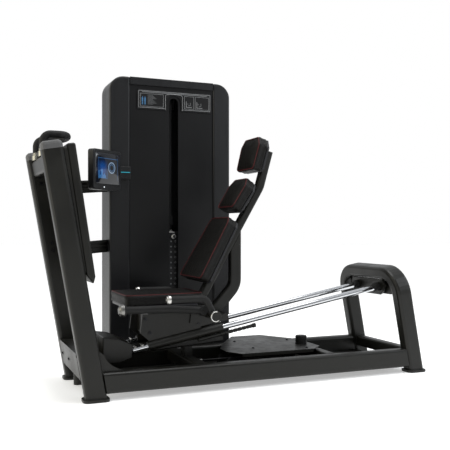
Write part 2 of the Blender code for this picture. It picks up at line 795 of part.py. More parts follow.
def base_cover_outline():
    near = CENTRE_Y - 0.148
    corners = [
        (0.765, near), (1.168, near), (1.243, near + 0.070), (1.243, 0.430), (1.110, 0.645),
        (0.930, 0.645), (0.800, 0.455), (0.720, 0.300), (0.715, near + 0.080),
    ]
    return corners


def base_cover():
    """Sheet cover over the belt pulleys, with a folded lip along the user's side."""
    outline = [(x, y, COVER_Z) for x, y in base_cover_outline()]
    body = add("base_cover", prism(outline, UP * COVER_THICKNESS), "frame_paint")
    x0, near = base_cover_outline()[0]
    x1 = base_cover_outline()[1][0]
    lip_top = COVER_Z + COVER_THICKNESS / 2
    lip = block((x0, near, COVER_Z - COVER_LIP * 0.5), (x1, near + COVER_THICKNESS, lip_top))
    cut(body, cutter("base_cover_lip", lip), "UNION")
    return body


def base_bumper():
    """Ribbed rubber stop that stands on the base cover."""
    low = Vector((1.185, CENTRE_Y + 0.020, COVER_Z + COVER_THICKNESS + GAP))
    profile = []
    ribs = 4
    for rib in range(ribs):
        base = rib / ribs
        profile += [(base, BASE_BUMPER_RADIUS), (base + 0.62 / ribs, BASE_BUMPER_RADIUS)]
        groove = BASE_BUMPER_RADIUS - BASE_BUMPER_GROOVE
        profile += [(base + 0.70 / ribs, groove), (base + 0.92 / ribs, groove)]
    profile.append((1.0, BASE_BUMPER_RADIUS - 0.002))
    bm = turned(low, low + UP * BASE_BUMPER_HEIGHT, profile, 20)
    return add("base_bumper", bm, "rubber")


def tie_bar(name, height, z_end):
    """Ribbed flat bar from the far upright to the side of the tower."""
    side_face = upright_point(height, FRAME_GAUGE + TUBE_WIDTH / 2 + GAP)
    finish = Vector((TOWER_LEFT_X - GAP, TOWER_FRONT_Y + 0.062, z_end))
    direction = (finish - side_face).normalized()
    side = UP.cross(direction).normalized()
    ribs = [(-0.011, 0.0335), (-0.011, -0.0335), (0.009, -0.0335)]
    for level in (-0.022, 0.0, 0.022):
        ribs += [(0.009, level - 0.006), (0.013, level - 0.003), (0.013, level + 0.003), (0.009, level + 0.006)]
    ribs += [(0.009, 0.0335)]
    section = [(a, b) for a, b in ribs]
    bm = bmesh.new()
    rings = []
    for centre in (side_face, finish):
        rings.append([bm.verts.new(centre - side * a + side.cross(direction) * -b) for a, b in section])
    for i in range(len(section)):
        j = (i + 1) % len(section)
        bm.faces.new((rings[0][i], rings[0][j], rings[1][j], rings[1][i]))
    bm.faces.new(rings[0][::-1])
    bm.faces.new(rings[1])
    slant_end(bm, side_face, ACROSS, True, direction)
    slant_end(bm, finish, ALONG, False, direction)
    return add(name, bm, "frame_paint")


# ---- carriage ---------------------------------------------------------------------------------
def housing(side, y):
    bm = ring_solid(
        rod_point(HOUSING_START_X, y),
        rod_point(HOUSING_END_X, y),
        HOUSING_RADIUS,
        ROD_RADIUS + HOUSING_BORE_CLEARANCE,
    )
    return add("bearing_housing_" + side, bm, "frame_paint")


def side_plate(y):
    """Outline of one carriage side, standing on a bearing housing."""
    lift = HOUSING_RADIUS + GAP
    return [
        rod_point(0.300, y, lift), rod_point(0.560, y, lift), Vector((0.578, y, 0.312)),
        Vector((0.545, y, 0.352)), Vector((0.262, y, 0.352)), Vector((0.252, y, 0.262)),
    ]


def carriage_body():
    """Welded box above the rods: a core, two side plates and the lever's bracket."""
    outer = ROD_SPAN / 2 + SIDE_PLATE_THICKNESS / 2
    low = CENTRE_Y - outer + SIDE_PLATE_THICKNESS / 2
    high = CENTRE_Y + outer - SIDE_PLATE_THICKNESS / 2
    core_top = SEAT_TOP_Z - SEAT_THICKNESS - SEAT_PAN_THICKNESS - 2 * GAP
    profile = (
        rod_point(0.320, low, 0.030), rod_point(0.716, low, 0.030), rod_point(0.716, low, CORE_LIFT),
        rod_point(0.612, low, CORE_LIFT), Vector((0.597, low, 0.350)), Vector((0.593, low, core_top)),
        Vector((0.290, low, core_top)), Vector((0.290, low, 0.250)),
    )
    body = add("carriage_body", prism(profile, ACROSS * (high - low)), "frame_paint")
    weld(body, "side_near", prism(side_plate(CENTRE_Y - outer), ACROSS * SIDE_PLATE_THICKNESS))
    weld(body, "side_far", prism(side_plate(CENTRE_Y + outer), -ACROSS * SIDE_PLATE_THICKNESS))
    tab_y = CENTRE_Y - outer + SIDE_PLATE_THICKNESS / 2
    tab = [(0.500, tab_y, 0.300), (0.552, tab_y, 0.300), (0.546, tab_y, 0.383), (0.510, tab_y, 0.383)]
    weld(body, "lever_tab", prism(tab, -ACROSS * LEVER_TAB_THICKNESS))
    pivot = lever_pivot()
    boss_start = pivot + ACROSS * (LEVER_RADIUS + GAP)
    boss_end = (pivot.x, tab_y - SIDE_PLATE_THICKNESS / 3, pivot.z)
    weld(body, "lever_boss", rod(boss_start, boss_end, LEVER_BOSS_RADIUS, 24))
    pin_end = pivot - ACROSS * LEVER_RADIUS
    weld(body, "lever_pin", rod(pin_end, boss_end, LEVER_PIN_RADIUS, 24))
    return body


def seat_pan():
    top = SEAT_TOP_Z - SEAT_THICKNESS - GAP
    inset = 0.012
    outline = [
        (SEAT_FRONT_X + inset, CENTRE_Y - SEAT_WIDTH / 2 + inset, top),
        (SEAT_FRONT_X + SEAT_LENGTH * 0.9, CENTRE_Y - SEAT_WIDTH / 2 + inset, top),
        (SEAT_FRONT_X + SEAT_LENGTH * 0.9, CENTRE_Y + SEAT_WIDTH / 2 - inset, top),
        (SEAT_FRONT_X + inset, CENTRE_Y + SEAT_WIDTH / 2 - inset, top),
    ]
    return add("seat_pan", prism(outline, -UP * SEAT_PAN_THICKNESS), "board", bevel=0.003)


def pad_outline(top_width, low_width, length, chamfer):
    """Pad outline in its own plane: first axis across, second up, zero at the lower edge."""
    t = top_width / 2
    b = low_width / 2
    return [
        (-b + 0.015, 0.0), (b - 0.015, 0.0), (b, 0.015), (t, length - chamfer),
        (t - chamfer * 0.8, length), (-t + chamfer * 0.8, length), (-t, length - chamfer), (-b, 0.015),
    ]


def tilted(top, angle):
    """Frame of a tilted pad face: origin at the top edge, direction up the face, normal to the rear."""
    up = Vector((math.cos(angle), 0.0, math.sin(angle)))
    rear = Vector((math.sin(angle), 0.0, -math.cos(angle)))
    return Vector((top[0], CENTRE_Y, top[1])), up, rear


def pad_and_board(name, top, angle, sizes, chamfer):
    origin, up, rear = tilted(top, angle)
    top_width, low_width, length = sizes
    outline = pad_outline(top_width, low_width, length, chamfer)
    face = [origin - up * length + ACROSS * a + up * b for a, b in outline]
    pad = add(name + "_pad", prism(face, rear * PAD_THICKNESS), "leather", bevel=0.010, steps=3)
    behind = rear * (PAD_THICKNESS + GAP)
    inset = 0.006
    outline = pad_outline(top_width - 2 * inset, low_width - 2 * inset, length - 2 * inset, chamfer)
    plate = [origin - up * (length - inset) + behind + ACROSS * a + up * b for a, b in outline]
    board = add(name + "_board", prism(plate, rear * BOARD_THICKNESS), "board", bevel=0.002)
    return [pad, board]


def seat_pad():
    half = SEAT_WIDTH / 2
    outline = [
        (SEAT_FRONT_X, CENTRE_Y - half, SEAT_TOP_Z),
        (SEAT_FRONT_X + SEAT_LENGTH, CENTRE_Y - half * 0.80, SEAT_TOP_Z),
        (SEAT_FRONT_X + SEAT_LENGTH, CENTRE_Y + half * 0.80, SEAT_TOP_Z),
        (SEAT_FRONT_X, CENTRE_Y + half, SEAT_TOP_Z),
    ]
    return add("seat_pad", prism(outline, -UP * SEAT_THICKNESS), "leather", bevel=0.010, steps=3)


def spine_path():
    """Centre line of the back spine, set square behind each pad face."""
    setback = SPINE_SETBACK
    points = []
    head, head_up, head_rear = tilted(HEAD_TOP, HEAD_ANGLE)
    points.append(head - head_up * 0.045 + head_rear * setback)
    joint = head - head_up * (HEAD_LENGTH + 0.060) + head_rear * setback
    back, back_up, back_rear = tilted(BACK_TOP, BACK_ANGLE)
    line = back + back_rear * setback
    reach = (joint.z - line.z) / back_up.z
    knee = line + back_up * reach
    knee = (knee + joint) / 2
    points.append(knee)
    points.append(line)
    points.append(line - back_up * (BACK_LENGTH + 0.055))
    return points


def spine():
    section = rounded_rectangle(SPINE_WIDTH, SPINE_DEPTH, 0.009)
    path = fillet(spine_path(), 0.12)
    return add("back_spine", sweep(path, section, ACROSS), "frame_paint")


def support_tube():
    """Bent tube that carries the spine on the carriage."""
    section = rounded_rectangle(SUPPORT_WIDTH, SUPPORT_DEPTH, 0.010)
    foot = rod_point(0.692, CENTRE_Y, CORE_LIFT + 0.016)
    corner = Vector((SUPPORT_X, CENTRE_Y, 0.470))
    path = fillet([foot, corner, corner + UP * 0.170], 0.090)
    body = sweep(path, section, ACROSS)
    back, back_up, back_rear = tilted(BACK_TOP, BACK_ANGLE)
    surface = back + back_rear * (SPINE_SETBACK + SPINE_DEPTH / 2 + GAP)
    slant_end(body, surface, back_rear, False, UP)
    along = (path[1] - path[0]).normalized()
    slant_end(body, rod_point(0.692, CENTRE_Y, CORE_LIFT + GAP), ARCH_UP, True, along)
    return add("back_support", body, "frame_paint")


def cross_shaft():
    half = GRIP_SPAN / 2 - GRIP_RADIUS - GAP
    bm = rod((SHAFT_X, CENTRE_Y - half, SHAFT_Z), (SHAFT_X, CENTRE_Y + half, SHAFT_Z), SHAFT_RADIUS)
    return add("grip_shaft", bm, "frame_paint")


def shaft_clearance(name, piece):
    """Passes the grip shaft through a piece."""
    tool = rod((SHAFT_X, -0.1, SHAFT_Z), (SHAFT_X, FRAME_GAUGE + 0.1, SHAFT_Z), SHAFT_RADIUS + GAP)
    cut(piece, cutter(name, tool))


def grip(side, y):
    """Bent hand grip with a plain end cap, its foot beside the end of the cross shaft."""
    front = Vector((GRIP_FRONT_X, y, GRIP_Z))
    foot = Vector((SHAFT_X + 0.009, y, SHAFT_Z - 0.014))
    path = fillet([front, Vector((0.520, y, GRIP_Z)), foot], 0.036)
    body = add("grip_" + side, tube_3d(path, GRIP_RADIUS), "rubber")
    wide = GRIP_CAP_RADIUS
    profile = ((0.0, wide), (0.6, wide), (1.0, wide - 0.004))
    cap = turned(front + ALONG * 0.002, front - ALONG * GRIP_CAP_LENGTH, profile)
    weld(body, "cap", cap)
    return body


def lever_pivot():
    return Vector((LEVER_PIVOT_X, LEVER_Y, LEVER_PIVOT_Z))


def lever():
    front = Vector((LEVER_FRONT_X, LEVER_Y, LEVER_Z))
    path = fillet([front, Vector((0.360, LEVER_Y, LEVER_Z - 0.002)), lever_pivot()], 0.25)
    body = add("release_lever", tube_3d(path, LEVER_RADIUS), "rubber", origin=lever_pivot())
    wide = LEVER_CAP_RADIUS
    profile = ((0.0, wide), (0.35, wide), (0.75, wide * 0.86), (1.0, wide * 0.5))
    cap = turned(front + ALONG * 0.002, front - ALONG * LEVER_CAP_LENGTH, profile)
    weld(body, "cap", cap)
    reach = ACROSS * LEVER_RADIUS
    weld(body, "lever_hub", rod(lever_pivot() - reach, lever_pivot() + reach, LEVER_HUB_RADIUS, 24))
    bore = rod(lever_pivot() - reach * 2, lever_pivot() + reach * 2, LEVER_PIN_RADIUS + GAP, 24)
    cut(body, cutter("lever_bore", bore))
    return body


def rack_bar():
    """Notched adjusting bar under the near rod, with a plain end."""
    y = CENTRE_Y - ROD_SPAN / 2
    drop = -(HOUSING_RADIUS + RACK_RADIUS + GAP)
    start = rod_point(0.540, y, drop)
    finish = rod_point(0.850, y, drop)
    notches = 7
    profile = [(0.0, RACK_RADIUS)]
    for notch in range(notches):
        base = 0.36 + 0.54 * notch / notches
        profile += [(base, RACK_RADIUS), (base + 0.006, RACK_RADIUS - 0.002)]
        profile += [(base + 0.020, RACK_RADIUS - 0.002), (base + 0.026, RACK_RADIUS)]
    profile += [(0.95, RACK_RADIUS), (0.952, RACK_RADIUS + 0.002), (1.0, RACK_RADIUS + 0.002)]
    return add("adjusting_rack", turned(start, finish, profile, 12), "steel")


# ---- tower ------------------------------------------------------------------------------------
def tower_limits():
    return TOWER_LEFT_X, TOWER_LEFT_X + TOWER_WIDTH


def cover_profile(outer_x, inner_x):
    """Front outline of a side cover, with its top outer corner rounded."""
    inward = 1.0 if inner_x > outer_x else -1.0
    corner = min(TOWER_CORNER, abs(inner_x - outer_x) - 0.004)
    points = [(outer_x, TOWER_FLOOR_Z), (outer_x, TOWER_TOP - corner)]
    steps = 10
    for step in range(1, steps + 1):
        angle = 0.5 * math.pi * step / steps
        points.append((
            outer_x + inward * corner * (1.0 - math.cos(angle)),
            TOWER_TOP - corner * (1.0 - math.sin(angle)),
        ))
    points += [(inner_x, TOWER_TOP), (inner_x, TOWER_FLOOR_Z)]
    return points


def side_cover(name, outer_x, inner_x):
    outline = [(x, TOWER_FRONT_Y, z) for x, z in cover_profile(outer_x, inner_x)]
    bm = prism(outline, ACROSS * TOWER_DEPTH)
    body = add(name, bm, "cover_plastic", bevel=0.010, steps=3)
    inward = 1.0 if inner_x > outer_x else -1.0
    low_x = min(outer_x + inward * TOWER_WALL, inner_x + inward * 0.01)
    high_x = max(outer_x + inward * TOWER_WALL, inner_x + inward * 0.01)
    room = block(
        (low_x, TOWER_FRONT_Y + TOWER_WALL, TOWER_FLOOR_Z - 0.01),
        (high_x, TOWER_FRONT_Y + TOWER_DEPTH - TOWER_WALL, TOWER_TOP - TOWER_CORNER),
    )
    cut(body, cutter(name + "_room", room))
    return body


def panel_limits():
    left, right = tower_limits()
    return left + LEFT_COVER_WIDTH + GAP, right - RIGHT_COVER_WIDTH - GAP


def slot_outline(y, half, bottom, top):
    points = [(SLOT_CENTRE_X - half, y, bottom), (SLOT_CENTRE_X + half, y, bottom)]
    steps = 8
    for step in range(steps + 1):
        angle = math.pi * step / steps
        points.append((SLOT_CENTRE_X + half * math.cos(angle), y, top - half + half * math.sin(angle)))
    return points


def front_panel():
    left, right = panel_limits()
    y = TOWER_FRONT_Y + PANEL_RECESS
    body = block((left, y, TOWER_FLOOR_Z), (right, y + PANEL_THICKNESS, TOWER_TOP - HEADER_HEIGHT - GAP))
    panel = add("tower_front_panel", body, "panel_plastic")
    tool = prism(slot_outline(y - 0.02, SLOT_WIDTH / 2, SLOT_BOTTOM, SLOT_TOP), ACROSS * 0.05)
    cut(panel, cutter("tower_slot", tool))
    return panel


def back_and_top():
    """Folded sheet that closes the back of the tower and bridges its top."""
    left, right = panel_limits()
    y = TOWER_FRONT_Y + TOWER_DEPTH
    top = block((left, TOWER_FRONT_Y, TOWER_TOP - HEADER_HEIGHT), (right, y, TOWER_TOP))
    body = add("tower_back_and_top", top, "cover_plastic")
    sheet = block((left, y - PANEL_THICKNESS, TOWER_FLOOR_Z), (right, y, TOWER_TOP - HEADER_HEIGHT / 2))
    weld(body, "back", sheet)
    return body


def placard():
    y = TOWER_FRONT_Y + PANEL_RECESS - GAP
    r = 0.012
    outline = [
        (PLACARD_LEFT, y, PLACARD_BOTTOM), (PLACARD_RIGHT, y, PLACARD_BOTTOM),
        (PLACARD_RIGHT, y, PLACARD_TOP - r), (PLACARD_RIGHT - r, y, PLACARD_TOP),
        (PLACARD_LEFT + r, y, PLACARD_TOP), (PLACARD_LEFT, y, PLACARD_TOP - r),
    ]
    body = add("instruction_placard", prism(outline, -ACROSS * PLACARD_THICKNESS), "placard")
    top = SLOT_TOP + PLACARD_NOTCH - SLOT_WIDTH / 2
    notch_top = min(top, PLACARD_TOP - 0.012)
    notch = slot_outline(y - 0.03, PLACARD_NOTCH, PLACARD_BOTTOM - 0.05, notch_top)
    tool = prism(notch, ACROSS * 0.06)
    cut(body, cutter("placard_notch", tool))
    return body


def tower_floor():
    """Steel tray on the floor with two buffers that the resting plates sit on."""
    left, right = panel_limits()
    low = (left + 0.020, TOWER_FRONT_Y + 0.022, 0.0)
    high = (right - 0.020, TOWER_FRONT_Y + TOWER_DEPTH - 0.012, TRAY_TOP)
    body = add("tower_floor", block(low, high), "steel")
    for side, x in stack_sides():
        buffer_bar = rod((x, STACK_Y, TRAY_TOP - 0.004), (x, STACK_Y, STACK_BOTTOM - GAP), BUFFER_RADIUS, 24)
        weld(body, "buffer_" + side, buffer_bar)
    for side, x in stack_sides():
        tool = rod((x, STACK_Y, TRAY_TOP), (x, STACK_Y, STACK_BOTTOM + 0.05), GUIDE_RADIUS + GAP, 24)
        cut(body, cutter("tower_floor_socket_" + side, tool))
    return body


def stack_sides():
    return (("left", SLOT_CENTRE_X - GUIDE_SPAN / 2), ("right", SLOT_CENTRE_X + GUIDE_SPAN / 2))


def stack_guide(side, x):
    bm = rod((x, STACK_Y, TRAY_TOP + GAP), (x, STACK_Y, TOWER_TOP - HEADER_HEIGHT - GAP), GUIDE_RADIUS, 24)
    return add("stack_guide_" + side, bm, "chrome")


def plate_holes(body, name, bottom, top, stem):
    for side, x in stack_sides():
        tool = rod((x, STACK_Y, bottom - 0.01), (x, STACK_Y, top + 0.01), GUIDE_RADIUS + GUIDE_CLEARANCE, 24)
        cut(body, cutter(name + "_bore_" + side, tool))
    if stem:
        tool = rod((SLOT_CENTRE_X, STACK_Y, bottom - 0.01), (SLOT_CENTRE_X, STACK_Y, top + 0.01), stem, 24)
        cut(body, cutter(name + "_bore_stem", tool))


def lower_plates():
    """The resting plates, one solid with a groove at each joint between plates."""
    x0 = SLOT_CENTRE_X - PLATE_WIDTH / 2
    x1 = SLOT_CENTRE_X + PLATE_WIDTH / 2
    y0 = STACK_Y - PLATE_DEPTH / 2
    y1 = STACK_Y + PLATE_DEPTH / 2
    bm = bmesh.new()
    levels = []
    for plate in range(PLATE_COUNT):
        base = STACK_BOTTOM + PLATE_PITCH * plate
        levels += [(base, PLATE_GROOVE), (base + PLATE_GROOVE, 0.0)]
        levels += [(base + PLATE_PITCH - PLATE_GROOVE, 0.0)]
    levels.append((STACK_BOTTOM + PLATE_PITCH * PLATE_COUNT, PLATE_GROOVE))
    rings = []
    for z, inset in levels:
        low_x, high_x = x0 + inset, x1 - inset
        low_y, high_y = y0 + inset, y1 - inset
        corners = ((low_x, low_y), (high_x, low_y), (high_x, high_y), (low_x, high_y))
        rings.append([bm.verts.new((x, y, z)) for x, y in corners])
    for low, high in zip(rings, rings[1:]):
        for i in range(4):
            j = (i + 1) % 4
            bm.faces.new((low[i], low[j], high[j], high[i]))
    bm.faces.new(rings[0][::-1])
    bm.faces.new(rings[-1])
    body = add("weight_plates", bm, "steel", smooth=False)
    top = STACK_BOTTOM + PLATE_PITCH * PLATE_COUNT
    plate_holes(body, "weight_plates", STACK_BOTTOM, top, STEM_RADIUS + GUIDE_CLEARANCE)
    return body


def top_plate_base():
    return STACK_BOTTOM + PLATE_PITCH * PLATE_COUNT + GAP


def top_plate():
    base = top_plate_base()
    top = base + TOP_PLATE_HEIGHT
    low = (SLOT_CENTRE_X - PLATE_WIDTH / 2, STACK_Y - PLATE_DEPTH / 2, base)
    high = (SLOT_CENTRE_X + PLATE_WIDTH / 2, STACK_Y + PLATE_DEPTH / 2, top)
    body = add("stack_top_plate", block(low, high), "steel", bevel=0.003)
    plate_holes(body, "stack_top_plate", base, top, STEM_RADIUS + GAP)
    hole = rod(pin_axis(-0.01), pin_axis(PLATE_DEPTH / 2 + 0.02), PIN_RADIUS + GAP, 16)
    cut(body, cutter("stack_top_pin_hole", hole))
    return body


def pin_axis(depth):
    """A point on the selector pin's line, measured inwards from the plate's front face."""
    return Vector((SLOT_CENTRE_X, STACK_Y - PLATE_DEPTH / 2 + depth, top_plate_base() + 0.013))


def stem():
    """Selector stem: hangs through the resting plates and carries the belt clamp on top."""
    base = top_plate_base()
    top = base + TOP_PLATE_HEIGHT + STEM_RISE
    bm = turned(
        (SLOT_CENTRE_X, STACK_Y, STACK_BOTTOM + 0.020),
        (SLOT_CENTRE_X, STACK_Y, top),
        ((0.0, STEM_RADIUS - 0.003), (0.01, STEM_RADIUS), (1.0, STEM_RADIUS)),
        24,
    )
    body = add("selector_stem", bm, "chrome")
    low = (SLOT_CENTRE_X - 0.016, STACK_Y - 0.013, top - 0.004)
    high = (SLOT_CENTRE_X + 0.016, STACK_Y + 0.013, top + CLAMP_HEIGHT)
    weld(body, "belt_clamp", block(low, high))
    hole = rod(pin_axis(0.020), pin_axis(PLATE_DEPTH / 2 + 0.020), PIN_RADIUS + GAP, 16)
    cut(body, cutter("selector_stem_pin_hole", hole))
    return body


def selector_pin():
    start = pin_axis(-0.034)
    finish = pin_axis(PLATE_DEPTH / 2 + 0.010)
    length = (finish - start).length
    profile = (
        (0.0, PIN_KNOB_RADIUS - 0.003), (0.004 / length, PIN_KNOB_RADIUS), (0.018 / length, PIN_KNOB_RADIUS),
        (0.024 / length, 0.007), (0.033 / length, 0.007), (0.0332 / length, PIN_RADIUS), (1.0, PIN_RADIUS),
    )
    return add("selector_pin", turned(start, finish, profile, 24), "silver", origin=pin_axis(0.0))


def pulley_centre():
    return Vector((SLOT_CENTRE_X, STACK_Y + PULLEY_RADIUS + BELT_THICKNESS / 2, PULLEY_Z))


def pulley(name, centre, axis):
    """Flanged belt wheel with a bored hub and lightening holes."""
    half = PULLEY_WIDTH / 2
    start = centre - axis * half
    finish = centre + axis * half
    bore = AXLE_RADIUS + GAP
    flange = 0.006
    side = axis.orthogonal().normalized()
    other = axis.cross(side)
    profile = (
        (0.0, bore), (0.0, PULLEY_RADIUS + flange), (0.08, PULLEY_RADIUS + flange),
        (0.10, PULLEY_RADIUS), (0.90, PULLEY_RADIUS), (0.92, PULLEY_RADIUS + flange),
        (1.0, PULLEY_RADIUS + flange), (1.0, bore),
    )
    bm = bmesh.new()
    rings = []
    for fraction, radius in profile:
        place = start.lerp(finish, fraction)
        rings.append([bm.verts.new(place + side * a + other * b) for a, b in circle(radius, 32)])
    for index in range(len(rings)):
        low = rings[index]
        high = rings[(index + 1) % len(rings)]
        for i in range(32):
            j = (i + 1) % 32
            bm.faces.new((low[i], low[j], high[j], high[i]))
    return add(name, bm, "frame_paint", origin=centre)


def pulley_carrier():
    """Top carrier: a plate under the tower top with two cheeks and the pulley's axle."""
    centre = pulley_centre()
    top = TOWER_TOP - HEADER_HEIGHT - GAP
    low = (SLOT_CENTRE_X - 0.060, centre.y - 0.022, top - 0.012)
    body = add("pulley_carrier", block(low, (SLOT_CENTRE_X + 0.060, centre.y + 0.022, top)), "steel")
    for side, direction in (("left", -1), ("right", 1)):
        x = SLOT_CENTRE_X + direction * 0.034
        low = (x - 0.004, centre.y - 0.020, centre.z - 0.022)
        weld(body, "cheek_" + side, block(low, (x + 0.004, centre.y + 0.020, top - 0.005)))
    ends = [Vector((SLOT_CENTRE_X + side * 0.036, centre.y, centre.z)) for side in (-1, 1)]
    weld(body, "axle", rod(ends[0], ends[1], AXLE_RADIUS, 24))
    return body


def lift_belt():
    """Straight run of belt from the clamp up to the pulley's tangent point."""
    low = top_plate_base() + TOP_PLATE_HEIGHT + STEM_RISE + CLAMP_HEIGHT + GAP
    x = SLOT_CENTRE_X
    half = BELT_WIDTH / 2
    y = STACK_Y
    return add(
        "lift_belt",
        block(
            (x - half, y - BELT_THICKNESS / 2, low),
            (x + half, y + BELT_THICKNESS / 2 - GAP, PULLEY_Z - GAP),
        ),
        "belt",
    )


def return_belt():
    """Belt over the pulley and down the back of the stack to the tower floor."""
    centre = pulley_centre()
    outer = PULLEY_RADIUS + BELT_THICKNESS
    inner = PULLEY_RADIUS + GAP
    steps = 16
    over = [math.pi - math.pi * i / steps for i in range(steps + 1)]
    drop = 0.096
    outline = [(centre.y + outer * math.cos(t), centre.z + outer * math.sin(t)) for t in over]
    outline.append((centre.y + outer, drop))
    outline.append((centre.y + inner, drop))
    outline += [(centre.y + inner * math.cos(t), centre.z + inner * math.sin(t)) for t in over[::-1]]
    ring = [(SLOT_CENTRE_X - BELT_WIDTH / 2 + 0.001, y, z) for y, z in outline]
    return add("return_belt", prism(ring, ALONG * (BELT_WIDTH - 0.002)), "belt")


# ---- display ----------------------------------------------------------------------------------
def display_axes():
    along = Vector((math.sin(DISPLAY_HEADING), math.cos(DISPLAY_HEADING), 0.0))
    facing = Vector((along.y, -along.x, 0.0))
    return along, facing


def display_pivot():
    along, facing = display_axes()
    edge = Vector((DISPLAY_EDGE[0], DISPLAY_EDGE[1], DISPLAY_Z))
    return edge - along * BARREL_INSET - facing * (DISPLAY_THICKNESS + BARREL_RADIUS - 0.003)


def display_body():
    """Display case with the hinge barrel on its back."""
    along, facing = display_axes()
    edge = Vector((DISPLAY_EDGE[0], DISPLAY_EDGE[1], DISPLAY_Z))
    centre = edge - along * DISPLAY_WIDTH / 2
    shape = rounded_rectangle(DISPLAY_WIDTH, DISPLAY_HEIGHT, 0.014, 4)
    outline = [centre + along * a + UP * b for a, b in shape]
    case = prism(outline, -facing * DISPLAY_THICKNESS)
    body = add("display_body", case, "cover_plastic", origin=display_pivot(), bevel=0.005)
    pivot = display_pivot()
    weld(body, "barrel", rod(pivot - UP * 0.022, pivot + UP * 0.022, BARREL_RADIUS, 24))
    cut(body, cutter("display_bore", rod(pivot - UP * 0.04, pivot + UP * 0.04, HINGE_PIN_RADIUS + GAP, 24)))
    return body


def display_bracket():
    """Arm from the tower's left cover with a fork and a pin for the display's hinge barrel."""
    pivot = display_pivot()
    reach = TOWER_FRONT_Y - GAP - pivot.y
    x0 = pivot.x - 0.018
    arm_low = (x0, pivot.y + 0.021, pivot.z - 0.034)
    arm_high = (BRACKET_END_X, pivot.y + reach, pivot.z + 0.034)
    body = add("display_bracket", block(arm_low, arm_high), "cover_plastic", bevel=0.003)
    for side in (-1, 1):
        z0 = pivot.z + side * 0.0225 if side > 0 else pivot.z - 0.034
        z1 = pivot.z + 0.034 if side > 0 else pivot.z - 0.0225
        fork = block((x0 + 0.008, pivot.y - 0.008, z0), (x0 + 0.028, pivot.y + 0.030, z1))
        cut(body, cutter("display_fork_%d" % (side + 1), fork), "UNION")
    pin = rod((pivot.x, pivot.y, pivot.z - 0.030), (pivot.x, pivot.y, pivot.z + 0.030), HINGE_PIN_RADIUS, 24)
    cut(body, cutter("display_hinge_pin", pin), "UNION")
    return body


# ---- assembly ---------------------------------------------------------------------------------
def build_base():
    for side, y in (("near", 0.0), ("far", FRAME_GAUGE)):
        upright("upright_" + side, y)
        upright_cap("upright_cap_" + side, y)
        rail("rail_" + side, y)
    top_bar()
    handle()
    footplate()
    low_crosspiece()
    rear_cross_tube()
    cross_tube("base_cross_middle", MID_CROSS_X, RAIL_TOP - 0.002, CROSS_TUBE_DEPTH, CROSS_TUBE_HEIGHT)
    rear_arch()
    rod_bracket()
    for side, y in rod_sides():
        guide_rod(side, y)
        rod_bumper(side, y)
    pedestal()
    spine_channel()
    base_cover()
    base_bumper()
    tie_bar("tie_bar_upper", 0.965, 0.998)
    tie_bar("tie_bar_lower", 0.645, 0.668)


def build_carriage():
    body = carriage_body()
    shaft_clearance("carriage_body_shaft_hole", body)
    pieces = [body, seat_pan(), seat_pad(), spine(), support_tube(), cross_shaft(), rack_bar()]
    for side, y in rod_sides():
        pieces.append(housing(side, y))
    back_size = (BACK_TOP_WIDTH, BACK_LOW_WIDTH, BACK_LENGTH)
    middle_size = (MIDDLE_WIDTH, MIDDLE_WIDTH * MIDDLE_TAPER, MIDDLE_LENGTH)
    pieces += pad_and_board("back", BACK_TOP, BACK_ANGLE, back_size, BACK_CHAMFER)
    pieces += pad_and_board("middle", MIDDLE_TOP, MIDDLE_ANGLE, middle_size, MIDDLE_CHAMFER)
    head_size = (HEAD_WIDTH, HEAD_WIDTH * HEAD_TAPER, HEAD_LENGTH)
    pieces += pad_and_board("head", HEAD_TOP, HEAD_ANGLE, head_size, HEAD_CHAMFER)
    for side, y in (("near", CENTRE_Y - GRIP_SPAN / 2), ("far", CENTRE_Y + GRIP_SPAN / 2)):
        pieces.append(grip(side, y))
    frame = empty("carriage_axis", rod_point(HOUSING_START_X, CENTRE_Y))
    group(pieces, frame)
    pivot = empty("lever_axis", lever_pivot())
    group([lever()], pivot)
    group([pivot], frame)


def build_tower():
    left, right = tower_limits()
    side_cover("tower_cover_left", left, left + LEFT_COVER_WIDTH)
    side_cover("tower_cover_right", right, right - RIGHT_COVER_WIDTH)
    front_panel()
    back_and_top()
    placard()
    tower_floor()
    for side, x in stack_sides():
        stack_guide(side, x)
    lower_plates()
    pulley("top_pulley", pulley_centre(), ALONG)
    pulley_carrier()
    lift_belt()
    return_belt()
    display_bracket()


def build_stack():
    carrier = empty("stack_axis", (SLOT_CENTRE_X, STACK_Y, top_plate_base()))
    group([top_plate(), stem(), selector_pin()], carrier)


def centre_on_floor():
    """Moves the whole machine so that its footprint is centred on the origin."""
    bpy.context.view_layer.update()
    graph = bpy.context.evaluated_depsgraph_get()
    low = Vector((1e9, 1e9))
    high = Vector((-1e9, -1e9))
    for obj in bpy.context.scene.objects:
        if obj.type != "MESH" or obj.hide_render:
            continue
        shape = obj.evaluated_get(graph)
        for vert in shape.data.vertices:
            place = shape.matrix_world @ vert.co
            low = Vector((min(low.x, place.x), min(low.y, place.y)))
            high = Vector((max(high.x, place.x), max(high.y, place.y)))
    middle = (low + high) / 2
    shift = Vector((-middle.x, -middle.y, 0.0))
    for obj in bpy.context.scene.objects:
        if obj.parent is None:
            obj.location = obj.location + shift


def main():
    clear_scene()
    build_base()
    build_carriage()
    build_tower()
    build_stack()
    display_body()
    centre_on_floor()


main()
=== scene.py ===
"""Looks of a seated leg press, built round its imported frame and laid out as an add-on."""

import json
import math

import bmesh
import bpy
import numpy as np
from bpy.props import FloatProperty, FloatVectorProperty, IntProperty, PointerProperty
from mathutils import Matrix, Vector


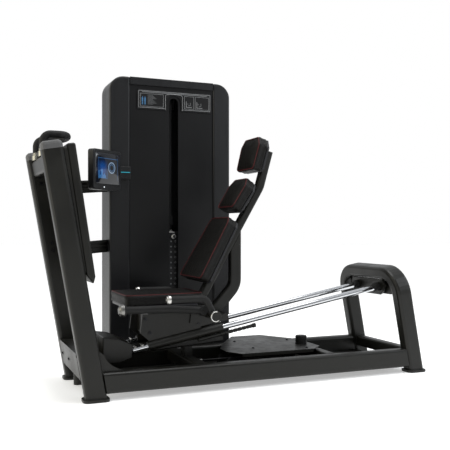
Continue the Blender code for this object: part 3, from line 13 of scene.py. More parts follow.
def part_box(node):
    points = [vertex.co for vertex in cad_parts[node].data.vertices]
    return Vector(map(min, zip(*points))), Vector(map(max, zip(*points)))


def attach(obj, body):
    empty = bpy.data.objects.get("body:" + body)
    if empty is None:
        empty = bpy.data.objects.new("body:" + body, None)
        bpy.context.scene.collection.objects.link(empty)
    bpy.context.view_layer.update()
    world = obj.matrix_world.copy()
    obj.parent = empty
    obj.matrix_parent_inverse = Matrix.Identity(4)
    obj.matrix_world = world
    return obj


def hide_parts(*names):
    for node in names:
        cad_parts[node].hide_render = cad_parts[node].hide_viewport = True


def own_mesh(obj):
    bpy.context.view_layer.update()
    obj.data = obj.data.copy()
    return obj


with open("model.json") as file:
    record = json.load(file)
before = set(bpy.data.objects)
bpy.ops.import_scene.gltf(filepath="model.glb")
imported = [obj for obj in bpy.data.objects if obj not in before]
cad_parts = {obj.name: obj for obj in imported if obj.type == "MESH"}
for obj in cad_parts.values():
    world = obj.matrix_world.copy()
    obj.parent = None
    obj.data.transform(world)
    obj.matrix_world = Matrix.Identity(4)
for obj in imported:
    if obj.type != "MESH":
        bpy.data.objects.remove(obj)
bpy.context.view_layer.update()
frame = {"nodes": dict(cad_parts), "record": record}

bl_info = {
    "name": "Leg Press Finishes",
    "version": (1, 0, 0),
    "blender": (4, 5, 0),
    "location": "3D View > Sidebar > Leg Press",
    "description": "Upholstery, finishes, fixings and stage for a seated leg press",
    "category": "Object",
}

ACROSS = Vector((0.0, 1.0, 0.0))
ALONG = Vector((1.0, 0.0, 0.0))
UP = Vector((0.0, 0.0, 1.0))

# The machine's own origin, at the near front foot, seen from the centre of its footprint.
FOOT_ORIGIN = Vector((-0.76896, -0.40750, 0.0))
FRAME_GAUGE = 0.516
CENTRE_Y = FRAME_GAUGE / 2
UPRIGHT_LEAN = math.radians(9.9)
UPRIGHT_UP = Vector((-math.sin(UPRIGHT_LEAN), 0.0, math.cos(UPRIGHT_LEAN)))
UPRIGHT_FORE = Vector((math.cos(UPRIGHT_LEAN), 0.0, math.sin(UPRIGHT_LEAN)))
ROD_INCLINE = math.radians(10.6)
INCLINE = Vector((math.cos(ROD_INCLINE), 0.0, math.sin(ROD_INCLINE)))
SLOT_X = 0.587
STACK_Y = 0.745

PIECE_SHARP = math.radians(38)
PATTERN_SHARP = math.radians(40)
SMALLEST = 1e-9


# The stage: colours of the light from either side, lamps and the camera.
WARM_LIGHT = (1.0, 0.97, 0.84)
COOL_LIGHT = (0.96, 0.98, 1.0)
WHITE = (1.0, 1.0, 1.0, 1.0)
FLOOR_RADIUS = 30.0
FLOOR_DROP = 0.0005
# Name, place, target, width, height, power and colour.
SOFTBOXES = (
    ("Left Softbox", (-4.2, -0.6, 1.9), (-0.6, 0.0, 0.8), 1.6, 3.0, 48.0, (1.0, 0.95, 0.80)),
    ("Right Softbox", (3.6, -2.4, 2.6), (0.4, 0.0, 0.4), 2.2, 2.6, 70.0, (0.90, 0.95, 1.0)),
    ("Top Softbox", (0.2, -0.6, 4.4), (0.1, 0.0, 0.5), 3.0, 2.2, 90.0, (1.0, 1.0, 1.0)),
)
CAMERA_PLACE = (-1.4030, -3.4665, 0.76)
CAMERA_HEADING = math.radians(-22.36)
CAMERA_LENS = 55.6
CAMERA_SENSOR = 36.0
CAMERA_RISE = 0.0089

# Pads and their boards.
PAD_THICKNESS = 0.050
PAD_NODES = ("seat_pad", "back_pad", "middle_pad", "head_pad")
SEAM_INSET, SEAM_DEPTH = 0.0062, 0.0006
STITCH_INSET, STITCH_DEPTH = 0.0018, 0.0165
STITCH_LENGTH, THREAD_RADIUS = 0.0042, 0.00055
CUSHION_VOXEL = 0.0055
CLOTH_PRESSURE = 3.5
CLOTH_STEPS = 20
# Angle, length, top width, lower width, chamfer, and the x and z of the top edge.
PAD_SHAPES = {
    "back_pad": (60.4, 0.352, 0.270, 0.322, 0.030, (0.708, 0.823)),
    "middle_pad": (58.5, 0.182, 0.228, 0.228 * 0.94, 0.045, (0.822, 1.024)),
    "head_pad": (75.5, 0.180, 0.236, 0.236 * 0.94, 0.045, (0.884, 1.238)),
}
# Heights up each pad of the blocks behind its board.
PAD_BLOCKS = (("back_pad", (0.09, 0.26)), ("middle_pad", (0.09,)), ("head_pad", (0.07,)))

# Turned pieces: distance along the axis, then radius.
HUB_PROFILE = (
    (0.0, 0.026), (0.005, 0.0285), (0.009, 0.0285), (0.0115, 0.026), (0.0115, 0.020),
    (0.0095, 0.018), (0.0095, 0.004))
GRIP_END_PROFILE = (
    (0.0, 0.0155), (0.0022, 0.0150), (0.0030, 0.0135), (0.0030, 0.0060), (0.0016, 0.0052),
    (0.0016, 0.0010))
STEM_NUT_PROFILE = (
    (0.0, 0.011), (0.004, 0.011), (0.005, 0.010), (0.005, 0.007), (0.011, 0.007), (0.012, 0.006))
PIN_CENTRE_PROFILE = ((0.0, 0.0080), (0.0010, 0.0080), (0.0018, 0.0066), (0.0018, 0.001))
PULLEY_PROFILE = (
    (0.0, 0.034), (0.002, 0.036), (0.004, 0.036), (0.006, 0.030), (0.020, 0.030),
    (0.022, 0.036), (0.024, 0.036), (0.026, 0.034), (0.026, 0.012), (0.030, 0.011),
    (0.032, 0.007))
BOSS_PROFILE = (
    (0.0, 0.026), (0.016, 0.026), (0.019, 0.023), (0.019, 0.010), (0.024, 0.009), (0.025, 0.006))

# Places of screws, pulleys and belts, from the near front foot.
COVER_SCREWS = ((0.876, 0.475), (0.884, 0.245), (1.173, 0.421), (1.150, 0.150))
CARRIAGE_SCREWS = ((0.276, 0.330), (0.560, 0.338), (0.300, 0.262), (0.545, 0.300))
PULLEY_PLACES = ((0.742, 0.190), (0.742, 0.300), (1.120, 0.300))
PULLEY_HEIGHT = 0.078
# Belts between the pulleys: y, then the heights of their ends.
BELT_RUNS = ((0.190, 0.1085, 0.1085), (0.300, 0.0475, 0.0475), (0.300, 0.1085, 0.1085))
BELT_HALF_WIDTH = 0.0095
SQUARE = ((-1, -1), (1, -1), (1, 1), (-1, 1))


def place(x, y, z):
    """A point measured from the near front foot, in the frame's own coordinates."""
    return FOOT_ORIGIN + Vector((x, y, z))


# ---- node graphs ------------------------------------------------------------------------------
class Socket:
    """An output of a node. Sums written on it become Math nodes in its graph."""

    def __init__(self, graph, socket):
        self.graph = graph
        self.socket = socket

    def other(self, name):
        """Another output of the same node."""
        return Socket(self.graph, self.socket.node.outputs[name])

    def __add__(self, value):
        return self.graph.maths("ADD", self, value)

    __radd__ = __add__

    def __mul__(self, value):
        return self.graph.maths("MULTIPLY", self, value)

    __rmul__ = __mul__

    def __sub__(self, value):
        return self.graph.maths("SUBTRACT", self, value)

    def __rsub__(self, value):
        return self.graph.maths("SUBTRACT", value, self)

    def __truediv__(self, value):
        return self.graph.maths("DIVIDE", self, value)

    def __lt__(self, value):
        return self.graph.maths("LESS_THAN", self, value)

    def __gt__(self, value):
        return self.graph.maths("GREATER_THAN", self, value)

    def __abs__(self):
        return self.graph.maths("ABSOLUTE", self)


class Graph:
    """A node tree with one way of adding nodes to it."""

    def __init__(self, tree):
        self.tree = tree

    def node(self, kind, settings=None, values=None, output=0):
        made = self.tree.nodes.new(kind)
        for key, value in (settings or {}).items():
            if key == "stops":
                self.set_stops(made.color_ramp, value)
            else:
                setattr(made, key, value)
        for key, value in (values or {}).items():
            if isinstance(value, Socket):
                self.tree.links.new(value.socket, made.inputs[key])
            else:
                made.inputs[key].default_value = value
        return Socket(self, made.outputs[output]) if len(made.outputs) else made

    def set_stops(self, ramp, stops):
        while len(ramp.elements) < len(stops):
            ramp.elements.new(1.0)
        for element, (position, colour) in zip(ramp.elements, stops):
            element.position = position
            element.color = colour

    def maths(self, operation, first, second=0.0):
        return self.node("ShaderNodeMath", {"operation": operation}, {0: first, 1: second})

    def between(self, value, low, high):
        """Nought below low, one above high, and smooth in between."""
        values = {"Value": value, "From Min": low, "From Max": high}
        return self.node("ShaderNodeMapRange", {"interpolation_type": "SMOOTHSTEP"}, values)

    def blend(self, factor, first, second):
        """Colour first where factor is nought, and second where it is one."""
        first = (*first, 1.0) if isinstance(first, tuple) else first
        second = (*second, 1.0) if isinstance(second, tuple) else second
        values = {0: factor, 6: first, 7: second}
        return self.node("ShaderNodeMix", {"data_type": "RGBA"}, values, 2)


class Finish(Graph):
    """A material with one Principled surface and the patterns that feed it."""

    def __init__(self, name, colour, roughness, metallic=0.0, **constants):
        self.material = bpy.data.materials.new(name)
        self.material.use_nodes = True
        super().__init__(self.material.node_tree)
        self.tree.nodes.clear()
        output = self.tree.nodes.new("ShaderNodeOutputMaterial")
        self.surface = self.tree.nodes.new("ShaderNodeBsdfPrincipled")
        self.tree.links.new(self.surface.outputs[0], output.inputs[0])
        self.set("Base Color", (*colour, 1.0))
        self.set("Roughness", roughness)
        self.set("Metallic", metallic)
        for key, value in constants.items():
            self.set(key.replace("_", " "), value)
        self.material.diffuse_color = (*colour, 1.0)
        self.coords = self.node("ShaderNodeTexCoord", output="Object")

    def set(self, name, value):
        socket = self.surface.inputs[name]
        if isinstance(value, Socket):
            self.tree.links.new(value.socket, socket)
        else:
            socket.default_value = value

    def axis(self, name):
        split = self.node("ShaderNodeSeparateXYZ", values={0: self.coords})
        return split.other(name)

    def facing(self, name):
        """How far the surface faces along one of the three axes."""
        normal = self.node("ShaderNodeNewGeometry", output="Normal")
        return self.node("ShaderNodeSeparateXYZ", values={0: normal}).other(name)

    def turned(self, angles=(0.0, 0.0, 0.0), scale=(1.0, 1.0, 1.0)):
        values = {"Vector": self.coords, "Rotation": angles, "Scale": scale}
        return self.node("ShaderNodeMapping", {"vector_type": "POINT"}, values)

    def noise(self, scale, detail=3.0, coords=None, roughness=0.5):
        return self.node("ShaderNodeTexNoise", values={
            "Vector": coords or self.coords, "Scale": scale, "Detail": detail,
            "Roughness": roughness})

    def cells(self, scale, coords=None):
        values = {"Vector": coords or self.coords, "Scale": scale}
        return self.node("ShaderNodeTexVoronoi", values=values, output="Distance")

    def waves(self, scale, coords, direction="X"):
        values = {"Vector": coords, "Scale": scale}
        return self.node("ShaderNodeTexWave", {"bands_direction": direction}, values, "Fac")

    def relief(self, height, depth):
        """Surface relief of that depth in metres."""
        values = {"Height": height, "Distance": depth}
        self.set("Normal", self.node("ShaderNodeBump", values=values))


def shade(colour, factor):
    """A darker or lighter tint of a colour."""
    return tuple(min(1.0, c * factor) for c in colour)


# ---- finishes ---------------------------------------------------------------------------------
def powder_coat(name, colour, roughness=0.42):
    """Baked powder coat: fine orange peel, faint cloudiness, and scuffs close to the floor."""
    finish = Finish(name, colour, roughness, Specular_IOR_Level=0.33)
    cloud = finish.between(finish.noise(5.0, 4.0), 0.35, 0.68)
    peel = finish.noise(620.0, 2.0)
    grain = finish.noise(1900.0, 2.0)
    height = finish.axis("Z")
    low = 1.0 - finish.between(height, 0.02, 0.16)
    scuff = finish.between(finish.noise(75.0, 6.0, roughness=0.7), 0.60, 0.74) * low
    settled = finish.between(finish.noise(24.0, 5.0), 0.42, 0.72)
    dust = finish.between(finish.facing("Z"), 0.55, 1.0) * settled
    base = finish.blend(cloud, shade(colour, 0.82), shade(colour, 1.22))
    base = finish.blend(dust * 0.30, base, (0.034, 0.034, 0.035))
    base = finish.blend(scuff * 0.55, base, (0.050, 0.049, 0.047))
    finish.set("Base Color", base)
    worn = scuff * 0.20 + dust * 0.12
    finish.set("Roughness", cloud * 0.10 + peel * 0.06 + worn + (roughness - 0.08))
    finish.relief(peel * 0.7 + grain * 0.3, 0.00022)
    return finish.material


def moulded_plastic(name, colour, roughness=0.46):
    """Moulded sheet with a fine spark-eroded texture and a few rubbed streaks."""
    finish = Finish(name, colour, roughness, Specular_IOR_Level=0.33)
    pits = finish.cells(1150.0)
    cloud = finish.noise(6.5, 4.0)
    streak = finish.noise(28.0, 5.0, finish.turned(scale=(1.0, 1.0, 0.10)))
    rubbed = finish.between(streak, 0.56, 0.72)
    finish.set("Base Color", finish.blend(cloud, shade(colour, 0.80), shade(colour, 1.20)))
    finish.set("Roughness", cloud * 0.08 + pits * 0.10 + (roughness - 0.09) - rubbed * 0.07)
    finish.relief(pits, 0.00018)
    return finish.material


def satin_sheet(name, colour, roughness=0.34):
    """Satin black lacquer on flat sheet, with faint upright polishing marks."""
    finish = Finish(name, colour, roughness, Specular_IOR_Level=0.40)
    marks = finish.noise(420.0, 3.0, finish.turned(scale=(1.0, 1.0, 0.012)))
    cloud = finish.noise(4.0, 5.0)
    finish.set("Base Color", finish.blend(cloud, shade(colour, 0.75), shade(colour, 1.30)))
    finish.set("Roughness", cloud * 0.12 + marks * 0.10 + (roughness - 0.10))
    finish.relief(marks, 0.00007)
    return finish.material


def slotted_sheet(name, colour):
    """Satin panel. Faces turned away from the front, its edges and slot walls, are made near black
    and matt: painted shade in the slot and the groove round the panel.
    """
    finish = Finish(name, colour, 0.36, Specular_IOR_Level=0.30)
    marks = finish.noise(420.0, 3.0, finish.turned(scale=(1.0, 1.0, 0.012)))
    cloud = finish.noise(4.0, 5.0)
    flat = finish.between(abs(finish.facing("Y")), 0.30, 0.60)
    face = finish.blend(cloud, shade(colour, 0.75), shade(colour, 1.30))
    # Painted shade: faces turned away from the front are near black.
    finish.set("Base Color", finish.blend(flat, (0.0004, 0.0004, 0.0004), face))
    finish.set("Roughness", (cloud * 0.12 + marks * 0.10 + 0.26) * flat + (1.0 - flat) * 0.95)
    return finish.material


def chromed_bar(name, colour, tilt=0.0):
    """Hard chrome, polished along the bar, with a few dull wiping marks."""
    finish = Finish(name, colour, 0.12, metallic=1.0)
    along = finish.turned((0.0, tilt, 0.0), (0.02, 1.0, 1.0))
    lines = finish.noise(900.0, 3.0, along)
    wiped = finish.between(finish.noise(9.0, 4.0), 0.50, 0.74)
    finish.set("Base Color", finish.blend(wiped * 0.5, colour, shade(colour, 0.80)))
    finish.set("Roughness", lines * 0.05 + wiped * 0.09 + 0.07)
    finish.relief(lines, 0.00003)
    return finish.material


def turned_metal(name, colour, roughness=0.26):
    """Bright turned metal with fine tool marks."""
    finish = Finish(name, colour, roughness, metallic=1.0)
    marks = finish.noise(1500.0, 2.0, finish.turned(scale=(1.0, 0.10, 0.10)))
    cloud = finish.noise(60.0, 3.0)
    finish.set("Base Color", finish.blend(cloud, shade(colour, 0.82), shade(colour, 1.10)))
    finish.set("Roughness", marks * 0.16 + cloud * 0.08 + (roughness - 0.10))
    finish.relief(marks, 0.00006)
    return finish.material


def rolled_steel(name, colour):
    """Dark enamelled weight steel with horizontal grinding marks."""
    finish = Finish(name, colour, 0.45, metallic=0.35)
    marks = finish.noise(700.0, 3.0, finish.turned(scale=(0.03, 0.03, 1.0)))
    cloud = finish.noise(18.0, 4.0)
    finish.set("Base Color", finish.blend(cloud, shade(colour, 0.75), shade(colour, 1.25)))
    finish.set("Roughness", marks * 0.22 + 0.32)
    finish.relief(marks, 0.00010)
    return finish.material


def leather(name, colour):
    """Black upholstery leather: pebbled grain and soft creases, with thin lighter lines along the
    creases.
    """
    finish = Finish(name, colour, 0.48, Specular_IOR_Level=0.20)
    pebble = finish.cells(430.0)
    fine = finish.cells(980.0, finish.turned((0.4, 0.9, 0.3)))
    crease = finish.noise(34.0, 6.0, roughness=0.62)
    folds = finish.between(abs(crease - 0.5), 0.0, 0.030)
    cloud = finish.noise(11.0, 3.0)
    base = finish.blend(cloud, shade(colour, 0.80), shade(colour, 1.35))
    # Thin lines along the creases are made lighter than the rest.
    base = finish.blend(folds, shade(colour, 1.9), base)
    finish.set("Base Color", base)
    finish.set("Roughness", pebble * 0.22 + cloud * 0.10 + 0.36)
    finish.relief(pebble * -0.6 + fine * -0.25 + folds * 0.5, 0.00055)
    return finish.material


def piping_cord(name, colour):
    """Coated welt cord with a fine diagonal twist."""
    finish = Finish(name, colour, 0.50, Specular_IOR_Level=0.30)
    twist = finish.waves(260.0, finish.turned((0.5, 0.6, 0.4)))
    cloud = finish.noise(90.0, 3.0)
    finish.set("Base Color", finish.blend(twist * 0.4 + cloud * 0.3, colour, shade(colour, 0.55)))
    finish.set("Roughness", cloud * 0.20 + 0.40)
    finish.relief(twist, 0.00025)
    return finish.material


def soft_rubber(name, colour, roughness=0.66):
    """Matt moulded rubber with a stippled skin."""
    finish = Finish(name, colour, roughness, Specular_IOR_Level=0.35)
    stipple = finish.cells(760.0)
    worn = finish.between(finish.noise(21.0, 5.0), 0.52, 0.74)
    finish.set("Base Color", finish.blend(worn, colour, shade(colour, 1.7)))
    finish.set("Roughness", stipple * 0.12 + (roughness - 0.05) - worn * 0.10)
    finish.relief(stipple, 0.00030)
    return finish.material


def capped_rubber(name, colour, metal, is_cap):
    """Rubber sleeve whose end cap is bright metal. is_cap gives the mask from the finish."""
    finish = Finish(name, colour, 0.60, Specular_IOR_Level=0.30)
    cap = is_cap(finish)
    stipple = finish.cells(760.0)
    rings = finish.noise(1300.0, 2.0, finish.turned(scale=(1.0, 0.08, 0.08)))
    worn = finish.between(finish.noise(21.0, 5.0), 0.52, 0.74)
    rubber = finish.blend(worn, colour, shade(colour, 1.7))
    bright = finish.blend(rings, shade(metal, 0.80), metal)
    finish.set("Base Color", finish.blend(cap, rubber, bright))
    finish.set("Metallic", cap)
    finish.set("Roughness", (1.0 - cap) * (stipple * 0.12 + 0.54) + cap * (rings * 0.16 + 0.22))
    finish.relief(stipple * (1.0 - cap) + rings * cap * 0.2, 0.00028)
    return finish.material


def belt_weave(name, colour):
    """Flat drive belt with fine ribs along its length."""
    finish = Finish(name, colour, 0.62)
    ribs = finish.waves(170.0, finish.coords)
    finish.set("Base Color", finish.blend(finish.noise(70.0), colour, shade(colour, 1.8)))
    finish.set("Roughness", ribs * 0.14 + 0.52)
    finish.relief(ribs, 0.0005)
    return finish.material


def flat_print(name, colour, roughness=0.42):
    """Screen-printed ink with a very slight tooth."""
    finish = Finish(name, colour, roughness)
    tooth = finish.noise(1600.0, 2.0)
    finish.set("Base Color", finish.blend(tooth, shade(colour, 0.86), shade(colour, 1.06)))
    finish.set("Roughness", tooth * 0.12 + (roughness - 0.06))
    return finish.material


def lit(name, colour, strength):
    """A glowing lamp or light guide."""
    finish = Finish(name, shade(colour, 0.2), 0.30, Emission_Strength=strength)
    spread = finish.noise(45.0, 2.0)
    finish.set("Emission Color", finish.blend(spread, shade(colour, 0.85), colour))
    return finish.material


def screen_glass(name, origin, across, strength):
    """Lit display: dark glass with a soft blue glow, gauge rings, bars and a status line."""
    finish = Finish(name, (0.004, 0.005, 0.008), 0.10, Emission_Strength=strength, Coat_Weight=0.5)
    finish.set("Coat Roughness", 0.03)
    split = finish.node("ShaderNodeSeparateXYZ", values={0: finish.coords})
    east = (split - origin.x) * across.x + (split.other("Y") - origin.y) * across.y
    north = split.other("Z") - origin.z
    mottle = finish.noise(70.0, 4.0)
    glow = 1.0 - finish.between(abs(east + 0.045), 0.0, 0.055)
    glow = glow * (1.0 - finish.between(abs(north + 0.002), 0.010, 0.055))
    square = (east - 0.030) * (east - 0.030) + (north - 0.006) * (north - 0.006)
    radius = finish.maths("SQRT", square)
    ring = 1.0 - finish.between(abs(radius - 0.027), 0.0018, 0.0032)
    inner = 1.0 - finish.between(abs(radius - 0.017), 0.0008, 0.0018)
    ticks = finish.maths("MODULO", east + 0.5, 0.0090) < 0.0052
    level = finish.noise(1.0, 0.0, finish.node("ShaderNodeCombineXYZ", values={
        0: finish.maths("FLOOR", (east + 0.5) / 0.0090) * 3.7, 1: 0.5, 2: 0.5}))
    bars = ticks * (north < (level * 0.075 - 0.062)) * (north > -0.052) * (east < -0.004)
    bars = bars * (east > -0.078)
    line = (abs(north - 0.052) < 0.0014) * (abs(east) < 0.078)
    edge = (abs(abs(east) - 0.079) < 0.0011) * (abs(north) < 0.056)
    shown = finish.blend(glow * (mottle * 0.6 + 0.5), (0.002, 0.003, 0.006), (0.012, 0.12, 0.50))
    shown = finish.blend(bars * 0.85, shown, (0.10, 0.42, 1.0))
    shown = finish.blend(ring * 0.9, shown, (0.42, 0.62, 0.90))
    shown = finish.blend(inner * 0.7, shown, (0.20, 0.50, 1.0))
    shown = finish.blend(line * 0.45 + edge * 0.35, shown, (0.12, 0.40, 0.95))
    finish.set("Emission Color", shown)
    finish.set("Roughness", mottle * 0.05 + 0.07)
    return finish.material


# ---- mesh work --------------------------------------------------------------------------------
def linked(name, data):
    """A new object that holds the data, put in the scene."""
    made = bpy.data.objects.new(name, data)
    bpy.context.scene.collection.objects.link(made)
    return made


def keep(name, bm, material, body, smooth=True):
    """Makes a finished piece that rides on a body, with its place in its mesh."""
    bmesh.ops.recalc_face_normals(bm, faces=bm.faces)
    mesh = bpy.data.meshes.new(name)
    bm.to_mesh(mesh)
    bm.free()
    piece = linked(name, mesh)
    mesh.materials.append(material)
    if smooth:
        mesh.shade_smooth()
        mesh.set_sharp_from_angle(angle=PIECE_SHARP)
    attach(piece, body)
    return piece


def rounded_loop(points, radius, steps=5):
    """A closed outline with its corners rounded."""
    loop = []
    count = len(points)
    for index in range(count):
        corner = points[index]
        before = points[index - 1] - corner
        after = points[(index + 1) % count] - corner
        turn = before.angle(after)
        cut = min(radius / math.tan(turn / 2), before.length * 0.48, after.length * 0.48)
        start = corner + before.normalized() * cut
        finish = corner + after.normalized() * cut
        for step in range(steps + 1):
            t = step / steps
            a = start.lerp(corner, t)
            b = corner.lerp(finish, t)
            loop.append(a.lerp(b, t))
    return loop


def even_loop(points, spacing):
    """The same closed outline with points at even spacing."""
    points = points + [points[0]]
    lengths = [0.0]
    for first, second in zip(points, points[1:]):
        lengths.append(lengths[-1] + (second - first).length)
    count = max(8, int(round(lengths[-1] / spacing)))
    result = []
    index = 0
    for step in range(count):
        target = lengths[-1] * step / count
        while lengths[index + 1] < target:
            index += 1
        span = lengths[index + 1] - lengths[index]
        part = (target - lengths[index]) / max(span, SMALLEST)
        result.append(points[index].lerp(points[index + 1], part))
    return result


def loft(bm, rings, caps=True):
    """Skin over rings of equal numbers of points."""
    rows = [[bm.verts.new(p) for p in ring] for ring in rings]
    count = len(rows[0])
    for low, high in zip(rows, rows[1:]):
        for index in range(count):
            nxt = (index + 1) % count
            bm.faces.new((low[index], low[nxt], high[nxt], high[index]))
    if caps:
        bm.faces.new(rows[0][::-1])
        bm.faces.new(rows[-1])
    return rows


def disc_stack(bm, centre, axis, profile, segments=24):
    """Turned shape: pairs of distance along the axis and radius."""
    axis = axis.normalized()
    side = axis.orthogonal().normalized()
    other = axis.cross(side)
    rings = []
    for along, radius in profile:
        ring = []
        for step in range(segments):
            angle = 2 * math.pi * step / segments
            out = side * math.cos(angle) + other * math.sin(angle)
            ring.append(centre + axis * along + out * radius)
        rings.append(ring)
    loft(bm, rings)


def plain(bm, low, high, edge=0.0008):
    """Box between two corners with all its edges eased."""
    low, high = Vector(low), Vector(high)
    made = bmesh.ops.create_cube(bm, size=1.0)["verts"]
    bmesh.ops.scale(bm, vec=high - low, verts=made)
    bmesh.ops.translate(bm, vec=(low + high) / 2, verts=made)
    edges = list(dict.fromkeys(e for v in made for e in v.link_edges))
    bmesh.ops.bevel(bm, geom=edges, offset=edge, segments=2, profile=0.5, affect="EDGES")


def eased_box(bm, centre, axes, sizes, edge=0.0008):
    """Box of any direction: three axes and three full sizes."""
    made = bmesh.ops.create_cube(bm, size=1.0)["verts"]
    bmesh.ops.scale(bm, vec=sizes, verts=made)
    edges = list(dict.fromkeys(e for v in made for e in v.link_edges))
    made = bmesh.ops.bevel(
        bm, geom=edges, offset=edge, segments=2, profile=0.5, affect="EDGES")["verts"]
    turn = Matrix(axes).transposed().to_4x4()
    bmesh.ops.transform(bm, matrix=Matrix.Translation(centre) @ turn, verts=made)


# ---- repeated pieces by geometry nodes --------------------------------------------------------
def node_tree(name, inputs):
    """A geometry tree with named inputs: its graph, the inputs' identifiers and sockets."""
    tree = bpy.data.node_groups.new(name, "GeometryNodeTree")
    tree.interface.new_socket("Geometry", in_out="INPUT", socket_type="NodeSocketGeometry")
    identifiers = {}
    for label, kind, default in inputs:
        made = tree.interface.new_socket(label, in_out="INPUT", socket_type="NodeSocket" + kind)
        if default is not None:
            made.default_value = default
        identifiers[label] = made.identifier
    tree.interface.new_socket("Geometry", in_out="OUTPUT", socket_type="NodeSocketGeometry")
    graph = Graph(tree)
    source = graph.node("NodeGroupInput")
    sockets = {label: source.other(label) for label, kind, default in inputs}
    sockets["Geometry"] = source.other("Geometry")
    return graph, identifiers, sockets


def close_tree(graph, geometry, finish):
    """Realises the instances, gives them their finish and ends the tree."""
    real = graph.node("GeometryNodeRealizeInstances", values={"Geometry": geometry})
    painted = graph.node("GeometryNodeSetMaterial", values={"Geometry": real, "Material": finish})
    end = graph.tree.nodes.new("NodeGroupOutput")
    graph.tree.links.new(painted.socket, end.inputs[0])


def grow(name, pattern, values, body, source=None):
    """Runs a pattern, a tree and its identifiers, and keeps the result as a plain piece."""
    tree, identifiers = pattern
    mesh = source or bpy.data.meshes.new(name + "_start")
    holder = linked(name + "_start", mesh)
    modifier = holder.modifiers.new("Pattern", "NODES")
    modifier.node_group = tree
    for label, value in values.items():
        modifier[identifiers[label]] = value
    holder.update_tag()
    bpy.context.view_layer.update()
    graph = bpy.context.evaluated_depsgraph_get()
    result = bpy.data.meshes.new_from_object(holder.evaluated_get(graph))
    bpy.data.objects.remove(holder)
    if not result.polygons:
        raise RuntimeError(name + " came out empty")
    result.name = name
    result.shade_smooth()
    result.set_sharp_from_angle(angle=PATTERN_SHARP)
    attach(linked(name, result), body)


def spots(name, points, normals):
    """A mesh of loose points, each with its own outward direction."""
    mesh = bpy.data.meshes.new(name)
    mesh.from_pydata([tuple(p) for p in points], [], [])
    facing = mesh.attributes.new("facing", "FLOAT_VECTOR", "POINT")
    facing.data.foreach_set("vector", [c for n in normals for c in n])
    return mesh


def turned_on_points(graph, given, instance):
    """Ends a tree with the instance on each point, turned along the point's direction."""
    facing = graph.node("GeometryNodeInputNamedAttribute", {"data_type": "FLOAT_VECTOR"}, {
        "Name": "facing"})
    turn = graph.node("FunctionNodeAlignRotationToVector", {"axis": "Z"}, {"Vector": facing})
    placed = graph.node("GeometryNodeInstanceOnPoints", values={
        "Points": given["Geometry"], "Instance": instance, "Rotation": turn})
    close_tree(graph, placed, given["Finish"])


def points_along(graph, given):
    """Points at the given pitch along the edges of the source."""
    line = graph.node("GeometryNodeMeshToCurve", values={"Mesh": given["Geometry"]})
    return graph.node("GeometryNodeCurveToPoints", {"mode": "LENGTH"}, {
        "Curve": line, "Length": given["Pitch"]})


def fixing_tree():
    """Cap screws with a washer and a hexagon socket, one on each point."""
    graph, names, given = node_tree("Fixings", [
        ("Head Radius", "Float", 0.006), ("Head Height", "Float", 0.004),
        ("Washer Radius", "Float", 0.009), ("Finish", "Material", None)])
    washer = graph.node("GeometryNodeMeshCylinder", values={
        "Vertices": 28, "Radius": given["Washer Radius"], "Depth": 0.0014})
    head = graph.node("GeometryNodeMeshCone", values={
        "Vertices": 28, "Radius Top": given["Head Radius"] * 0.90,
        "Radius Bottom": given["Head Radius"], "Depth": given["Head Height"]})
    socket = graph.node("GeometryNodeMeshCylinder", values={
        "Vertices": 6, "Radius": given["Head Radius"] * 0.56, "Depth": given["Head Height"]})
    lift = graph.node("ShaderNodeCombineXYZ", values={2: given["Head Height"] * 0.6})
    sunk = graph.node("GeometryNodeTransform", values={"Geometry": socket, "Translation": lift})
    hollow = graph.node("GeometryNodeMeshBoolean", {"operation": "DIFFERENCE", "solver": "EXACT"}, {
        "Mesh 1": head, "Mesh 2": sunk})
    both = graph.node("GeometryNodeJoinGeometry", values={0: washer})
    graph.tree.links.new(hollow.socket, both.socket.node.inputs[0])
    turned_on_points(graph, given, both)
    return graph.tree, names


def dome_tree():
    """Plain domed buttons, one on each point, turned along its direction."""
    graph, names, given = node_tree("Domes", [
        ("Radius", "Float", 0.004), ("Height", "Float", 0.002), ("Finish", "Material", None)])
    ball = graph.node("GeometryNodeMeshUVSphere", values={
        "Segments": 20, "Rings": 10, "Radius": given["Radius"]})
    flat = graph.node("ShaderNodeCombineXYZ", values={
        0: 1.0, 1: 1.0, 2: given["Height"] / given["Radius"]})
    pressed = graph.node("GeometryNodeTransform", values={"Geometry": ball, "Scale": flat})
    turned_on_points(graph, given, pressed)
    return graph.tree, names


def rib_tree():
    """Small bars in a straight row, from a start point along a step."""
    graph, names, given = node_tree("Ribs", [
        ("Count", "Int", 10), ("Start", "Vector", (0.0, 0.0, 0.0)),
        ("Step", "Vector", (0.0, 0.0, 0.01)),
        ("Size", "Vector", (0.01, 0.01, 0.004)), ("Turn", "Vector", (0.0, 0.0, 0.0)),
        ("Finish", "Material", None)])
    bar = graph.node("GeometryNodeMeshCube", values={
        "Size": given["Size"], "Vertices X": 2, "Vertices Y": 2, "Vertices Z": 2})
    turned = graph.node("GeometryNodeTransform", values={
        "Geometry": bar, "Rotation": given["Turn"]})
    row = graph.node("GeometryNodeMeshLine", {"mode": "OFFSET"}, {
        "Count": given["Count"], "Start Location": given["Start"], "Offset": given["Step"]})
    placed = graph.node("GeometryNodeInstanceOnPoints", values={"Points": row, "Instance": turned})
    close_tree(graph, placed, given["Finish"])
    return graph.tree, names


